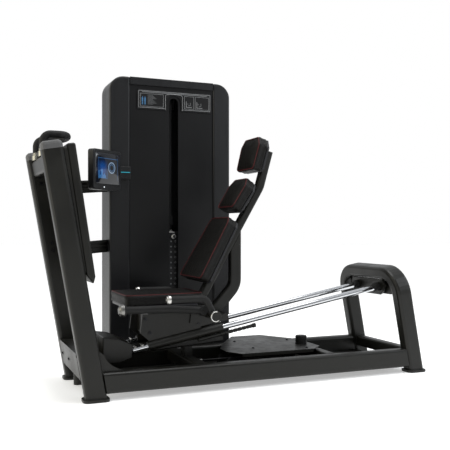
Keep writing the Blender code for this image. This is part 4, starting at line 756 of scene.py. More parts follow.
def stitch_tree():
    """Thread stitches along a line of edges, each a short capsule lying on the line."""
    graph, names, given = node_tree("Stitches", [
        ("Pitch", "Float", 0.006), ("Length", "Float", 0.004), ("Thread", "Float", 0.0006),
        ("Finish", "Material", None)])
    points = points_along(graph, given)
    ball = graph.node("GeometryNodeMeshUVSphere", values={
        "Segments": 8, "Rings": 6, "Radius": given["Thread"]})
    long = graph.node("ShaderNodeCombineXYZ", values={
        0: 1.0, 1: 1.0, 2: given["Length"] / given["Thread"] * 0.5})
    thread = graph.node("GeometryNodeTransform", values={"Geometry": ball, "Scale": long})
    placed = graph.node("GeometryNodeInstanceOnPoints", values={
        "Points": points, "Instance": thread, "Rotation": points.other("Rotation")})
    close_tree(graph, placed, given["Finish"])
    return graph.tree, names


def welt_tree():
    """Round cord swept along a line of edges."""
    graph, names, given = node_tree("Welt", [
        ("Radius", "Float", 0.002), ("Finish", "Material", None)])
    line = graph.node("GeometryNodeMeshToCurve", values={"Mesh": given["Geometry"]})
    ring = graph.node("GeometryNodeCurvePrimitiveCircle", values={
        "Resolution": 10, "Radius": given["Radius"]})
    cord = graph.node("GeometryNodeCurveToMesh", values={
        "Curve": line, "Profile Curve": ring, "Fill Caps": True})
    close_tree(graph, cord, given["Finish"])
    return graph.tree, names


def bead_tree():
    """Overlapping weld ripples along a line of edges."""
    graph, names, given = node_tree("Weld Bead", [
        ("Pitch", "Float", 0.0022), ("Radius", "Float", 0.0030), ("Finish", "Material", None)])
    points = points_along(graph, given)
    drop = graph.node("GeometryNodeMeshIcoSphere", values={
        "Radius": given["Radius"], "Subdivisions": 2})
    size = graph.node("FunctionNodeRandomValue", {"data_type": "FLOAT"}, {
        2: 0.82, 3: 1.08, "Seed": 7}, 1)
    placed = graph.node("GeometryNodeInstanceOnPoints", values={
        "Points": points, "Instance": drop, "Scale": size})
    close_tree(graph, placed, given["Finish"])
    return graph.tree, names


def line_mesh(name, loops, closed=True):
    """Edges through each loop of points."""
    points = []
    edges = []
    for loop in loops:
        first = len(points)
        points += [tuple(p) for p in loop]
        edges += [(first + i, first + i + 1) for i in range(len(loop) - 1)]
        if closed:
            edges.append((first + len(loop) - 1, first))
    mesh = bpy.data.meshes.new(name)
    mesh.from_pydata(points, edges, [])
    return mesh


# ---- pads -------------------------------------------------------------------------------------
def pad_outline(top_width, low_width, length, chamfer):
    """Pad outline in its own plane: across, then up from the lower edge."""
    t = top_width / 2
    b = low_width / 2
    return [
        (-b + 0.015, 0.0), (b - 0.015, 0.0), (b, 0.015), (t, length - chamfer),
        (t - chamfer * 0.8, length), (-t + chamfer * 0.8, length), (-t, length - chamfer),
        (-b, 0.015),
    ]


class PadForm:
    """Where a pad's face lies: the middle of its lower edge, up the face, and out of its back."""

    def __init__(self, low, up, rear, outline, corner):
        self.low, self.up, self.rear = low, up, rear
        flat = rounded_loop([Vector((a, b, 0.0)) for a, b in outline], corner)
        self.loop = even_loop(flat, 0.006)
        self.middle = sum(self.loop, Vector()) / len(self.loop)

    def at(self, point, depth):
        return self.low + ACROSS * point.x + self.up * point.y + self.rear * depth

    def ring(self, inset, depth):
        """The outline drawn in by inset, at a depth behind the face."""
        ring = []
        count = len(self.loop)
        for index, point in enumerate(self.loop):
            tangent = (self.loop[(index + 1) % count] - self.loop[index - 1]).normalized()
            inward = Vector((-tangent.y, tangent.x, 0.0))
            if inward.dot(self.middle - point) < 0:
                inward = -inward
            ring.append(self.at(point + inward * inset, depth))
        return ring

    def shrunk(self, factor, depth):
        return [self.at(self.middle + (p - self.middle) * factor, depth) for p in self.loop]


def pad_form(which):
    """The four pads' forms, named as the frame's nodes."""
    if which == "seat_pad":
        low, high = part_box("seat_pad")
        length = high.x - low.x
        half = (high.y - low.y) / 2
        start = Vector((high.x, (low.y + high.y) / 2, high.z))
        outline = [(-half * 0.80, 0.0), (half * 0.80, 0.0), (half, length), (-half, length)]
        return PadForm(start, -ALONG, -UP, outline, 0.030)
    angle, length, top_width, low_width, chamfer, top = PAD_SHAPES[which]
    angle = math.radians(angle)
    up = Vector((math.cos(angle), 0.0, math.sin(angle)))
    rear = Vector((math.sin(angle), 0.0, -math.cos(angle)))
    low = place(top[0], CENTRE_Y, top[1]) - up * length
    return PadForm(low, up, rear, pad_outline(top_width, low_width, length, chamfer), 0.020)


def eased_rings(rings, parts):
    """The same rings with smooth ones added between them."""
    eased = []
    last = len(rings) - 1
    for index in range(last):
        near = [rings[max(index - 1, 0)], rings[index], rings[index + 1],
                rings[min(index + 2, last)]]
        for step in range(parts):
            t = step / parts
            eased.append([
                0.5 * (2 * b + (c - a) * t + (2 * a - 5 * b + 4 * c - d) * t * t
                       + (3 * b - a - 3 * c + d) * t ** 3)
                for a, b, c, d in zip(*near)])
    return eased + [rings[last]]


def cushion_start(form, crown):
    """Closed pad shell: flat back, sides that pull in, and a crowned face inside the seam."""
    bm = bmesh.new()
    rings = [
        form.shrunk(0.45, PAD_THICKNESS - 0.002),
        form.ring(0.008, PAD_THICKNESS - 0.002),
        form.ring(0.002, PAD_THICKNESS - 0.006),
        form.ring(0.0035, PAD_THICKNESS * 0.70),
        form.ring(0.0035, PAD_THICKNESS * 0.40),
        form.ring(0.0010, 0.013),
        form.ring(0.0006, 0.007),
        form.ring(0.0028, 0.0028),
        form.ring(0.0072, 0.0010),
        form.ring(0.016, -0.0006),
        form.shrunk(0.72, -crown * 0.70),
        form.shrunk(0.45, -crown * 0.95),
        form.shrunk(0.20, -crown),
    ]
    loft(bm, eased_rings(rings, 3))
    bmesh.ops.recalc_face_normals(bm, faces=bm.faces)
    return bm


def settle(piece, form, swell):
    """Blows the pad up as sewn cloth, held at its seam and back, and caps its movement."""
    mesh = piece.data
    count = len(mesh.vertices)
    start = np.zeros(count * 3, np.float32)
    mesh.vertices.foreach_get("co", start)
    start = start.reshape(-1, 3)
    depth = (start - np.array(form.low)) @ np.array(form.rear)
    seam = np.abs(depth - 0.0035) < 0.0045
    group = piece.vertex_groups.new(name="held")
    held = np.nonzero(seam | (depth > PAD_THICKNESS - 0.014))[0]
    group.add([int(i) for i in held], 1.0, "REPLACE")
    cloth = piece.modifiers.new("Cloth", "CLOTH")
    settings = cloth.settings
    settings.quality = 5
    settings.mass = 0.35
    settings.tension_stiffness = 22
    settings.compression_stiffness = 22
    settings.shear_stiffness = 12
    settings.bending_stiffness = 9.0
    settings.use_pressure = True
    settings.uniform_pressure_force = CLOTH_PRESSURE
    settings.vertex_group_mass = "held"
    settings.effector_weights.gravity = 0.0
    settings.shrink_min = -0.002
    scene = bpy.context.scene
    for step in range(1, CLOTH_STEPS + 1):
        scene.frame_set(step)
    graph = bpy.context.evaluated_depsgraph_get()
    moved = np.zeros(count * 3, np.float32)
    piece.evaluated_get(graph).data.vertices.foreach_get("co", moved)
    moved = moved.reshape(-1, 3)
    piece.modifiers.remove(cloth)
    piece.vertex_groups.clear()
    scene.frame_set(1)
    shift = moved - start
    reach = np.linalg.norm(shift, axis=1, keepdims=True)
    shift *= np.minimum(1.0, swell / np.maximum(reach, SMALLEST))
    mesh.vertices.foreach_set("co", (start + shift).reshape(-1))
    mesh.update()


def shell(bm, material, name):
    """A smooth-shaded piece made from a closed shell."""
    mesh = bpy.data.meshes.new(name)
    bm.to_mesh(mesh)
    bm.free()
    piece = linked(name, mesh)
    mesh.materials.append(material)
    mesh.shade_smooth()
    return piece


def refined(piece, levels=0, voxel=0.0):
    """Applies a remesh or a subdivision and leaves a plain mesh."""
    if voxel:
        modifier = piece.modifiers.new("Remesh", "REMESH")
        modifier.mode = "VOXEL"
        modifier.voxel_size = voxel
    else:
        modifier = piece.modifiers.new("Subdivision", "SUBSURF")
        modifier.levels = levels
        modifier.render_levels = levels
    graph = bpy.context.evaluated_depsgraph_get()
    result = bpy.data.meshes.new_from_object(piece.evaluated_get(graph))
    piece.modifiers.clear()
    materials = list(piece.data.materials)
    piece.data = result
    result.materials.clear()
    for material in materials:
        result.materials.append(material)
    result.shade_smooth()
    return piece


def cushion(which, body, material, crown, swell):
    """An upholstered pad that takes the place of a plain one in the frame."""
    form = pad_form(which)
    piece = shell(cushion_start(form, crown), material, which + "_cushion")
    piece = refined(piece, voxel=CUSHION_VOXEL)
    settle(piece, form, swell)
    piece = refined(piece, levels=1)
    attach(piece, body)
    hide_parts(which)
    return form


# ---- settings ---------------------------------------------------------------------------------
def colour(label, text, default):
    return FloatVectorProperty(
        name=label, description=text, subtype="COLOR", size=3, min=0.0, max=1.0, default=default)


def length(label, text, default):
    return FloatProperty(
        name=label, description=text, subtype="DISTANCE", unit="LENGTH", default=default)


class LegPressColours(bpy.types.PropertyGroup):
    frame_paint: colour("Frame", "Powder coat of the tubes", (0.0066, 0.0064, 0.0048))
    # Pale grey caps: painted highlight for the light that the rounded tops of the uprights catch
    # from above.
    cap_highlight_grey: colour("Caps", "Moulded end caps of the uprights", (0.092, 0.092, 0.093))
    cover: colour("Covers", "Moulded side covers of the tower", (0.0072, 0.0074, 0.0084))
    panel: colour("Panel", "Recessed front panel of the tower", (0.0030, 0.0030, 0.0034))
    leather: colour("Leather", "Upholstery leather", (0.0036, 0.0033, 0.0029))
    welt: colour("Welt", "Piping along the pad seams", (0.085, 0.004, 0.005))
    board: colour("Boards", "Rear boards of the pads", (0.015, 0.015, 0.017))
    rubber: colour("Rubber", "Grips, buffers and belts", (0.0042, 0.0042, 0.0040))
    chrome: colour("Chrome", "Guide rods", (0.62, 0.63, 0.65))
    silver: colour("Silver", "End caps and the selector pin", (0.66, 0.65, 0.62))
    steel: colour("Weights", "Enamelled weight plates", (0.010, 0.010, 0.011))
    glow: colour("Glow", "Light guide on the display arm", (0.02, 0.62, 0.80))


class LegPressSizes(bpy.types.PropertyGroup):
    crown: length("Crown", "How far the middle of a pad stands above its seam", 0.007)
    swell: length("Swell", "Most that the cloth may move while it is blown up", 0.0045)
    welt_radius: length("Welt Radius", "Radius of the piping", 0.0021)
    stitch_pitch: length("Stitch Pitch", "Distance between stitches", 0.0065)
    screw_radius: length("Screw Radius", "Head radius of the frame's cap screws", 0.0060)
    plate_count: IntProperty(
        name="Plates", description="Weight plates with a label", default=18, min=1)
    screen_strength: FloatProperty(
        name="Screen", description="Brightness of the display", default=0.55)


PALETTE = {}


def finishes():
    """The materials, made once from the settings."""
    if PALETTE:
        return PALETTE
    c = bpy.context.scene.leg_press_colours
    shift = FOOT_ORIGIN.x
    handle_root = place(-0.1826, CENTRE_Y, 1.1105)
    PALETTE.update({
        "frame": powder_coat("Charcoal Powder Coat", tuple(c.frame_paint), 0.40),
        # The caps' pale grey is painted highlight on the tops of the uprights.
        "caps": moulded_plastic("Grey Moulded Caps", tuple(c.cap_highlight_grey), 0.44),
        "cover": moulded_plastic("Charcoal Moulded Cover", tuple(c.cover), 0.38),
        "panel": slotted_sheet("Black Satin Panel", tuple(c.panel)),
        "board": moulded_plastic("Pad Boards", tuple(c.board), 0.36),
        "leather": leather("Black Leather", tuple(c.leather)),
        "welt": piping_cord("Red Welt", tuple(c.welt)),
        "thread": piping_cord("Dark Thread", (0.020, 0.018, 0.018)),
        "rubber": soft_rubber("Moulded Rubber", tuple(c.rubber)),
        "chrome": chromed_bar("Hard Chrome", tuple(c.chrome), ROD_INCLINE),
        # Chrome dimmed to a tenth: painted shade for the guide rods inside the tower.
        "shaded_guide_chrome": chromed_bar(
            "Stack Guide Chrome", shade(tuple(c.chrome), 0.10), math.pi / 2),
        "silver": turned_metal("Turned Silver", tuple(c.silver)),
        "screw": turned_metal("Blackened Screws", (0.028, 0.028, 0.030), 0.34),
        "steel": rolled_steel("Enamelled Weights", tuple(c.steel)),
        "belt": belt_weave("Drive Belt", (0.012, 0.012, 0.013)),
        "ink": flat_print("Pale Ink", (0.42, 0.43, 0.44)),
        "grey_ink": flat_print("Grey Ink", (0.15, 0.155, 0.16)),
        "blue_ink": flat_print("Blue Ink", (0.05, 0.17, 0.34)),
        "placard": satin_sheet("Placard Face", (0.006, 0.006, 0.0066), 0.30),
        "glow": lit("Cyan Light Guide", tuple(c.glow), 0.55),
        "white_lamp": lit("White Lamp", (0.8, 0.85, 0.9), 1.6),
        "grip": capped_rubber("Grip Sleeve", tuple(c.rubber), tuple(c.silver),
                              lambda f: f.axis("X") < (0.3472 + shift)),
        "lever": capped_rubber("Lever Sleeve", tuple(c.rubber), shade(tuple(c.silver), 0.40),
                               lambda f: f.axis("X") < (0.1430 + shift)),
        "handle": collared(tuple(c.rubber), (0.42, 0.41, 0.36), handle_root),
        "tread": tread_coat("Footplate Coat", tuple(c.frame_paint)),
    })
    return PALETTE


def collared(rubber, metal, root):
    """The loop handle's sleeve, with its two pale collars next to the top bar."""
    reach = root.dot(UPRIGHT_UP)

    def collar(finish):
        up = finish.axis("X") * UPRIGHT_UP.x + finish.axis("Z") * UPRIGHT_UP.z
        return up < (reach + 0.0175)

    return capped_rubber("Loop Handle Sleeve", rubber, metal, collar)


def tread_coat(name, base_colour):
    """Powder coat with a raised lozenge tread on faces that take a foot."""
    finish = Finish(name, base_colour, 0.44, Specular_IOR_Level=0.30)
    front = finish.between(finish.facing("X"), 0.90, 0.97)
    first = finish.waves(24.0, finish.turned((math.radians(45), 0.0, 0.0)), "Y")
    second = finish.waves(24.0, finish.turned((math.radians(-45), 0.0, 0.0)), "Y")
    lozenge = finish.between(finish.maths("MAXIMUM", first, second), 0.78, 0.92) * front
    peel = finish.noise(620.0, 2.0)
    cloud = finish.between(finish.noise(5.0, 4.0), 0.35, 0.68)
    shoes = finish.between(finish.noise(9.0, 5.0), 0.50, 0.75) * front
    tone = finish.blend(cloud, shade(base_colour, 0.82), shade(base_colour, 1.20))
    tone = finish.blend(shoes * lozenge * 0.6, tone, (0.026, 0.025, 0.024))
    finish.set("Base Color", tone)
    finish.set("Roughness", cloud * 0.10 + peel * 0.06 + shoes * 0.14 + 0.34)
    finish.relief(lozenge + peel * 0.16, 0.0010)
    return finish.material


# ---- operators --------------------------------------------------------------------------------
NODE_FINISHES = {
    "caps": ("upright_cap_near", "upright_cap_far"),
    "cover": ("tower_cover_left", "tower_cover_right", "tower_back_and_top", "display_body",
              "display_bracket"),
    "panel": ("tower_front_panel",),
    "placard": ("instruction_placard",),
    "board": ("back_board", "middle_board", "head_board", "seat_pan"),
    "rubber": ("base_bumper", "rod_bumper_near", "rod_bumper_far"),
    "grip": ("grip_near", "grip_far"),
    "lever": ("release_lever",),
    "handle": ("foot_frame_handle",),
    "chrome": ("guide_rod_near", "guide_rod_far"),
    "shaded_guide_chrome": ("stack_guide_left", "stack_guide_right"),
    "silver": ("selector_pin",),
    "steel": ("weight_plates", "stack_top_plate", "selector_stem", "tower_floor", "pulley_carrier",
              "top_pulley"),
    "belt": ("lift_belt", "return_belt"),
    "tread": ("footplate",),
    "leather": PAD_NODES,
}


class LEGPRESS_OT_frame(bpy.types.Operator):
    """Give every node of the frame its finish"""

    bl_idname = "legpress.frame"
    bl_label = "Frame Finishes"

    def execute(self, context):
        palette = finishes()
        chosen = {node: key for key, nodes in NODE_FINISHES.items() for node in nodes}
        for name, node in frame["nodes"].items():
            material = palette[chosen.get(name, "frame")]
            node.data.materials.clear()
            node.data.materials.append(material)
        return {"FINISHED"}


class LEGPRESS_OT_pads(bpy.types.Operator):
    """Upholster the seat, back, shoulder and head pads, with welts and stitching"""

    bl_idname = "legpress.pads"
    bl_label = "Pads"

    def execute(self, context):
        palette = finishes()
        size = context.scene.leg_press_sizes
        welt = welt_tree()
        stitch = stitch_tree()
        for which in PAD_NODES:
            form = cushion(which, "carriage", palette["leather"], size.crown, size.swell)
            seam = line_mesh(which + "_seam", [form.ring(SEAM_INSET, SEAM_DEPTH)])
            grow(which + "_welt", welt, {
                "Radius": size.welt_radius, "Finish": palette["welt"]}, "carriage", seam)
            row = line_mesh(which + "_row", [form.ring(STITCH_INSET, STITCH_DEPTH)])
            grow(which + "_stitches", stitch, {
                "Pitch": size.stitch_pitch, "Length": STITCH_LENGTH, "Thread": THREAD_RADIUS,
                "Finish": palette["thread"]}, "carriage", row)
        return {"FINISHED"}


class LEGPRESS_OT_pad_mounts(bpy.types.Operator):
    """Spacer blocks and screws between the pad boards and the spine"""

    bl_idname = "legpress.pad_mounts"
    bl_label = "Pad Mounts"

    def execute(self, context):
        palette = finishes()
        points = []
        normals = []
        bm = bmesh.new()
        for which, levels in PAD_BLOCKS:
            form = pad_form(which)
            for level in levels:
                centre = form.low + form.up * level + form.rear * 0.0746
                eased_box(bm, centre, (ACROSS, form.up, form.rear), (0.086, 0.052, 0.0236), 0.002)
                for side in (-0.034, 0.034):
                    points.append(form.low + form.up * level + ACROSS * side + form.rear * 0.0866)
                    normals.append(form.rear)
            high = form.middle.y * 1.5
            for a, b in ((-0.075, 0.040), (0.075, 0.040), (-0.060, high), (0.060, high)):
                points.append(form.low + form.up * b + ACROSS * a + form.rear * 0.0630)
                normals.append(form.rear)
        keep("pad_mount_blocks", bm, palette["frame"], "carriage")
        tree = fixing_tree()
        grow("pad_mount_screws", tree, {
            "Head Radius": 0.0052, "Head Height": 0.0036, "Washer Radius": 0.0082,
            "Finish": palette["screw"]}, "carriage", spots("pad_screw_spots", points, normals))
        return {"FINISHED"}


def lean_point(height, y, fore=0.0):
    """A point at a length up the leaning upright, offset forwards from its centre line."""
    return place(0.006, y, 0.0123) + UPRIGHT_UP * height + UPRIGHT_FORE * fore


def rod_point(x, y, lift=0.0):
    """A point on a guide rod's line, lifted square to it."""
    z = 0.446 + (x - 1.611) * math.tan(ROD_INCLINE)
    square = Vector((-math.sin(ROD_INCLINE), 0.0, math.cos(ROD_INCLINE)))
    return place(x, y, z) + square * lift


class LEGPRESS_OT_fixings(bpy.types.Operator):
    """Cap screws and domed screws on the frame, covers and carriage"""

    bl_idname = "legpress.fixings"
    bl_label = "Fixings"

    def execute(self, context):
        palette = finishes()
        size = context.scene.leg_press_sizes
        tree = fixing_tree()
        spots_by_body = {"base": ([], []), "carriage": ([], [])}

        def add(body, point, normal):
            spots_by_body[body][0].append(point)
            spots_by_body[body][1].append(normal)

        for y in (0.445, 0.275):
            add("base", lean_point(0.142, y, -0.0470), -UPRIGHT_FORE)
        cover_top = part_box("base_cover")[1].z + 0.0006
        for x, y in COVER_SCREWS:
            add("base", Vector((*place(x, y, 0.0).xy, cover_top)), UP)
        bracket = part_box("rod_bracket")
        for y in (0.05, 0.466):
            head = Vector((bracket[0].x + 0.006, FOOT_ORIGIN.y + y, bracket[1].z - 0.020))
            add("base", head, -ALONG)
        for height, far in ((0.955, 0.0), (0.620, 0.0)):
            for rise in (-0.018, 0.018):
                point = lean_point(height + rise + 0.05, FRAME_GAUGE + 0.0333, 0.0)
                add("base", point - ACROSS * 0.0663, -ACROSS)
        for y in (CENTRE_Y - 0.1040, CENTRE_Y + 0.1040):
            out = -ACROSS if y < CENTRE_Y else ACROSS
            for x, z in CARRIAGE_SCREWS:
                add("carriage", place(x, y + out.y * 0.0024, z), out)
        for body, (points, normals) in spots_by_body.items():
            grow("frame_screws_" + body, tree, {
                "Head Radius": size.screw_radius, "Head Height": 0.0042, "Washer Radius": 0.0092,
                "Finish": palette["screw"]}, body, spots("screw_spots_" + body, points, normals))
        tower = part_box("tower_back_and_top")
        ribs = rib_tree()
        grow("tower_vent_slats", ribs, {
            "Count": 14,
            "Start": Vector(((tower[0].x + tower[1].x) / 2, tower[1].y - 0.0002, 1.44)),
            "Step": -UP * 0.014, "Size": (0.20, 0.0024, 0.0050), "Turn": (0.0, 0.0, 0.0),
            "Finish": palette["cover"]}, "base")
        domes = dome_tree()
        points = []
        for x in (tower[0].x + 0.02, (tower[0].x + tower[1].x) / 2, tower[1].x - 0.02):
            for z in (0.08, 0.46, 0.84, 1.22, 1.54):
                points.append(Vector((x, tower[1].y, z)))
        grow("tower_back_screws", domes, {
            "Radius": 0.0055, "Height": 0.0008, "Finish": palette["screw"]}, "base",
            spots("tower_spots", points, [ACROSS] * len(points)))
        return {"FINISHED"}


class LEGPRESS_OT_welds(bpy.types.Operator):
    """Weld beads where the cross tubes meet the rails and the legs meet their feet"""

    bl_idname = "legpress.welds"
    bl_label = "Welds"

    def execute(self, context):
        palette = finishes()
        tree = bead_tree()
        loops = []
        for node in ("base_cross_middle", "base_cross_rear"):
            low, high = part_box(node)
            for y in (low.y + 0.0008, high.y - 0.0008):
                corners = [Vector((low.x, y, low.z)), Vector((high.x, y, low.z)),
                           Vector((high.x, y, high.z)), Vector((low.x, y, high.z))]
                loops.append(rounded_loop(corners, 0.006))
        for x, lean, depth in ((0.006, -UPRIGHT_LEAN, 0.095), (1.716, -ROD_INCLINE, 0.090)):
            half = depth / 2 / math.cos(lean)
            for y in (0.0, FRAME_GAUGE):
                centre = place(x, y, 0.0126)
                corners = [centre + Vector((a * half, b * 0.033, 0.0))
                           for a, b in SQUARE]
                loops.append(rounded_loop(corners, 0.017))
        grow("weld_beads", tree, {
            "Pitch": 0.0030, "Radius": 0.0026, "Finish": palette["frame"]}, "base",
            line_mesh("weld_lines", loops))
        return {"FINISHED"}


class LEGPRESS_OT_grips(bpy.types.Operator):
    """Hub discs at the feet of the hand grips, and bright ring arcs over only the lit side of each,
    the shaded part left out as painted shade
    """

    bl_idname = "legpress.grips"
    bl_label = "Grip Hubs"

    def execute(self, context):
        palette = finishes()
        bm = bmesh.new()
        lit_arcs = []
        for node, out in (("grip_near", -1.0), ("grip_far", 1.0)):
            low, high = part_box(node)
            y = low.y if out < 0 else high.y
            centre = Vector((place(0.562, 0.0, 0.0).x, y - out * 0.004, 0.350))
            disc_stack(bm, centre, ACROSS * out, HUB_PROFILE, 40)
            # Painted shade: the bright ring runs only from 75 to 310 degrees, on the lit side;
            # where its shaded part would be, the dark hub shows.
            face = centre + ACROSS * out * 0.0118
            lit_arcs.append([
                face + Vector((math.cos(a), 0.0, math.sin(a))) * 0.0230
                for a in (math.radians(75 + 235 * step / 30) for step in range(31))])
        keep("grip_hubs", bm, palette["frame"], "carriage")
        tree = welt_tree()
        grow("grip_hub_rings", tree, {
            "Radius": 0.0024, "Finish": palette["silver"]}, "carriage",
            line_mesh("hub_lit_arcs", lit_arcs, closed=False))
        caps = bmesh.new()
        for node in ("grip_near", "grip_far"):
            low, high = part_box(node)
            centre = Vector((low.x, (low.y + high.y) / 2, 0.434))
            disc_stack(caps, centre + ALONG * 0.001, -ALONG, GRIP_END_PROFILE, 36)
        keep("grip_end_discs", caps, palette["silver"], "carriage")
        return {"FINISHED"}


class LEGPRESS_OT_weights(bpy.types.Operator):
    """Plate labels, dark discs as painted shade inside the pin holes, the stem's nut and the
    selector pin's dark centre
    """

    bl_idname = "legpress.weights"
    bl_label = "Weight Stack Details"

    def execute(self, context):
        palette = finishes()
        size = context.scene.leg_press_sizes
        low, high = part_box("weight_plates")
        pitch = (high.z - low.z) / size.plate_count
        domes = dome_tree()
        face = low.y
        for column, x, radius, finish in (
                ("plate_label_dots", SLOT_X - 0.0075, 0.0048, "grey_ink"),
                ("plate_pin_rims", SLOT_X + 0.0185, 0.0056, "grey_ink")):
            points = [Vector((place(x, 0, 0).x, face, low.z + pitch * (i + 0.5)))
                      for i in range(size.plate_count)]
            grow(column, domes, {
                "Radius": radius, "Height": 0.0010, "Finish": palette[finish]}, "base",
                spots(column + "_spots", points, [-ACROSS] * len(points)))
        # Painted shade: dark discs stand for the shaded inside of the pin holes.
        points = [Vector((place(SLOT_X + 0.0185, 0, 0).x, face - 0.0006, low.z + pitch * (i + 0.5)))
                  for i in range(size.plate_count)]
        grow("plate_pin_holes", domes, {
            "Radius": 0.0034, "Height": 0.0007, "Finish": palette["rubber"]}, "base",
            spots("pin_hole_shade_spots", points, [-ACROSS] * len(points)))
        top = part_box("stack_top_plate")[1].z
        axis = place(SLOT_X, STACK_Y, 0.0)
        bm = bmesh.new()
        disc_stack(bm, Vector((axis.x, axis.y - 0.026, top - 0.001)), UP, STEM_NUT_PROFILE)
        plain(bm, (axis.x - 0.017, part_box("stack_top_plate")[0].y - 0.0010, top - 0.0045),
              (axis.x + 0.017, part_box("stack_top_plate")[0].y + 0.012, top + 0.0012), 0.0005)
        keep("top_plate_marker", bm, palette["silver"], "stack")
        low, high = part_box("selector_pin")
        centre = Vector(((low.x + high.x) / 2, low.y + 0.0004, (low.z + high.z) / 2))
        bm = bmesh.new()
        disc_stack(bm, centre, -ACROSS, PIN_CENTRE_PROFILE, 28)
        keep("selector_pin_centre", bm, palette["rubber"], "pin")
        return {"FINISHED"}


DISPLAY_HEADING = math.radians(50.7)
DISPLAY_ALONG = Vector((math.sin(DISPLAY_HEADING), math.cos(DISPLAY_HEADING), 0.0))
DISPLAY_FACING = Vector((DISPLAY_ALONG.y, -DISPLAY_ALONG.x, 0.0))


class LEGPRESS_OT_display(bpy.types.Operator):
    """Lit screen, bezel, lamp and rear ribs of the display, and the light guide on its arm"""

    bl_idname = "legpress.display"
    bl_label = "Display"

    def execute(self, context):
        palette = finishes()
        size = context.scene.leg_press_sizes
        along, facing = DISPLAY_ALONG, DISPLAY_FACING
        centre = place(0.266, 0.585, 1.066) - along * 0.115
        screen = centre + UP * 0.007
        glass = screen_glass("Lit Screen", screen, along, size.screen_strength)

        def loop(half_width, half_height, radius, lift, about=screen):
            corners = [about + along * a * half_width + UP * b * half_height + facing * lift
                       for a, b in SQUARE]
            return rounded_loop(corners, radius)

        bm = bmesh.new()
        loft(bm, [loop(0.101, 0.079, 0.009, -0.0010), loop(0.101, 0.079, 0.009, 0.0012),
                  loop(0.0995, 0.0775, 0.008, 0.0018)])
        keep("display_glass", bm, glass, "display")
        bm = bmesh.new()
        rings = [loop(0.1045, 0.0825, 0.011, -0.0010), loop(0.1045, 0.0825, 0.011, 0.0018),
                 loop(0.1035, 0.0815, 0.010, 0.0026), loop(0.1022, 0.0802, 0.0095, 0.0026),
                 loop(0.1013, 0.0793, 0.009, 0.0016), loop(0.1013, 0.0793, 0.009, -0.0010)]
        rows = loft(bm, rings, caps=False)
        count = len(rows[0])
        for index in range(count):
            nxt = (index + 1) % count
            bm.faces.new((rows[-1][index], rows[-1][nxt], rows[0][nxt], rows[0][index]))
        keep("display_bezel", bm, palette["cover"], "display")
        domes = dome_tree()
        lamp = centre - along * 0.030 - UP * 0.0895 + facing * 0.0002
        grow("display_lamp", domes, {
            "Radius": 0.0034, "Height": 0.0012, "Finish": palette["white_lamp"]}, "display",
            spots("lamp_spot", [lamp], [facing]))
        ribs = rib_tree()
        start = centre - facing * 0.0404 + UP * 0.045
        grow("display_rear_ribs", ribs, {
            "Count": 12, "Start": start, "Step": -UP * 0.0075, "Size": (0.110, 0.0012, 0.0030),
            "Turn": (0.0, 0.0, math.pi / 2 - DISPLAY_HEADING),
            "Finish": palette["cover"]}, "display")
        low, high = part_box("display_bracket")
        bm = bmesh.new()
        plain(bm, (high.x - 0.062, low.y + 0.0200, 1.0655),
              (high.x - 0.006, low.y + 0.0222, 1.0690), 0.0006)
        keep("arm_light_guide", bm, palette["glow"], "base")
        return {"FINISHED"}


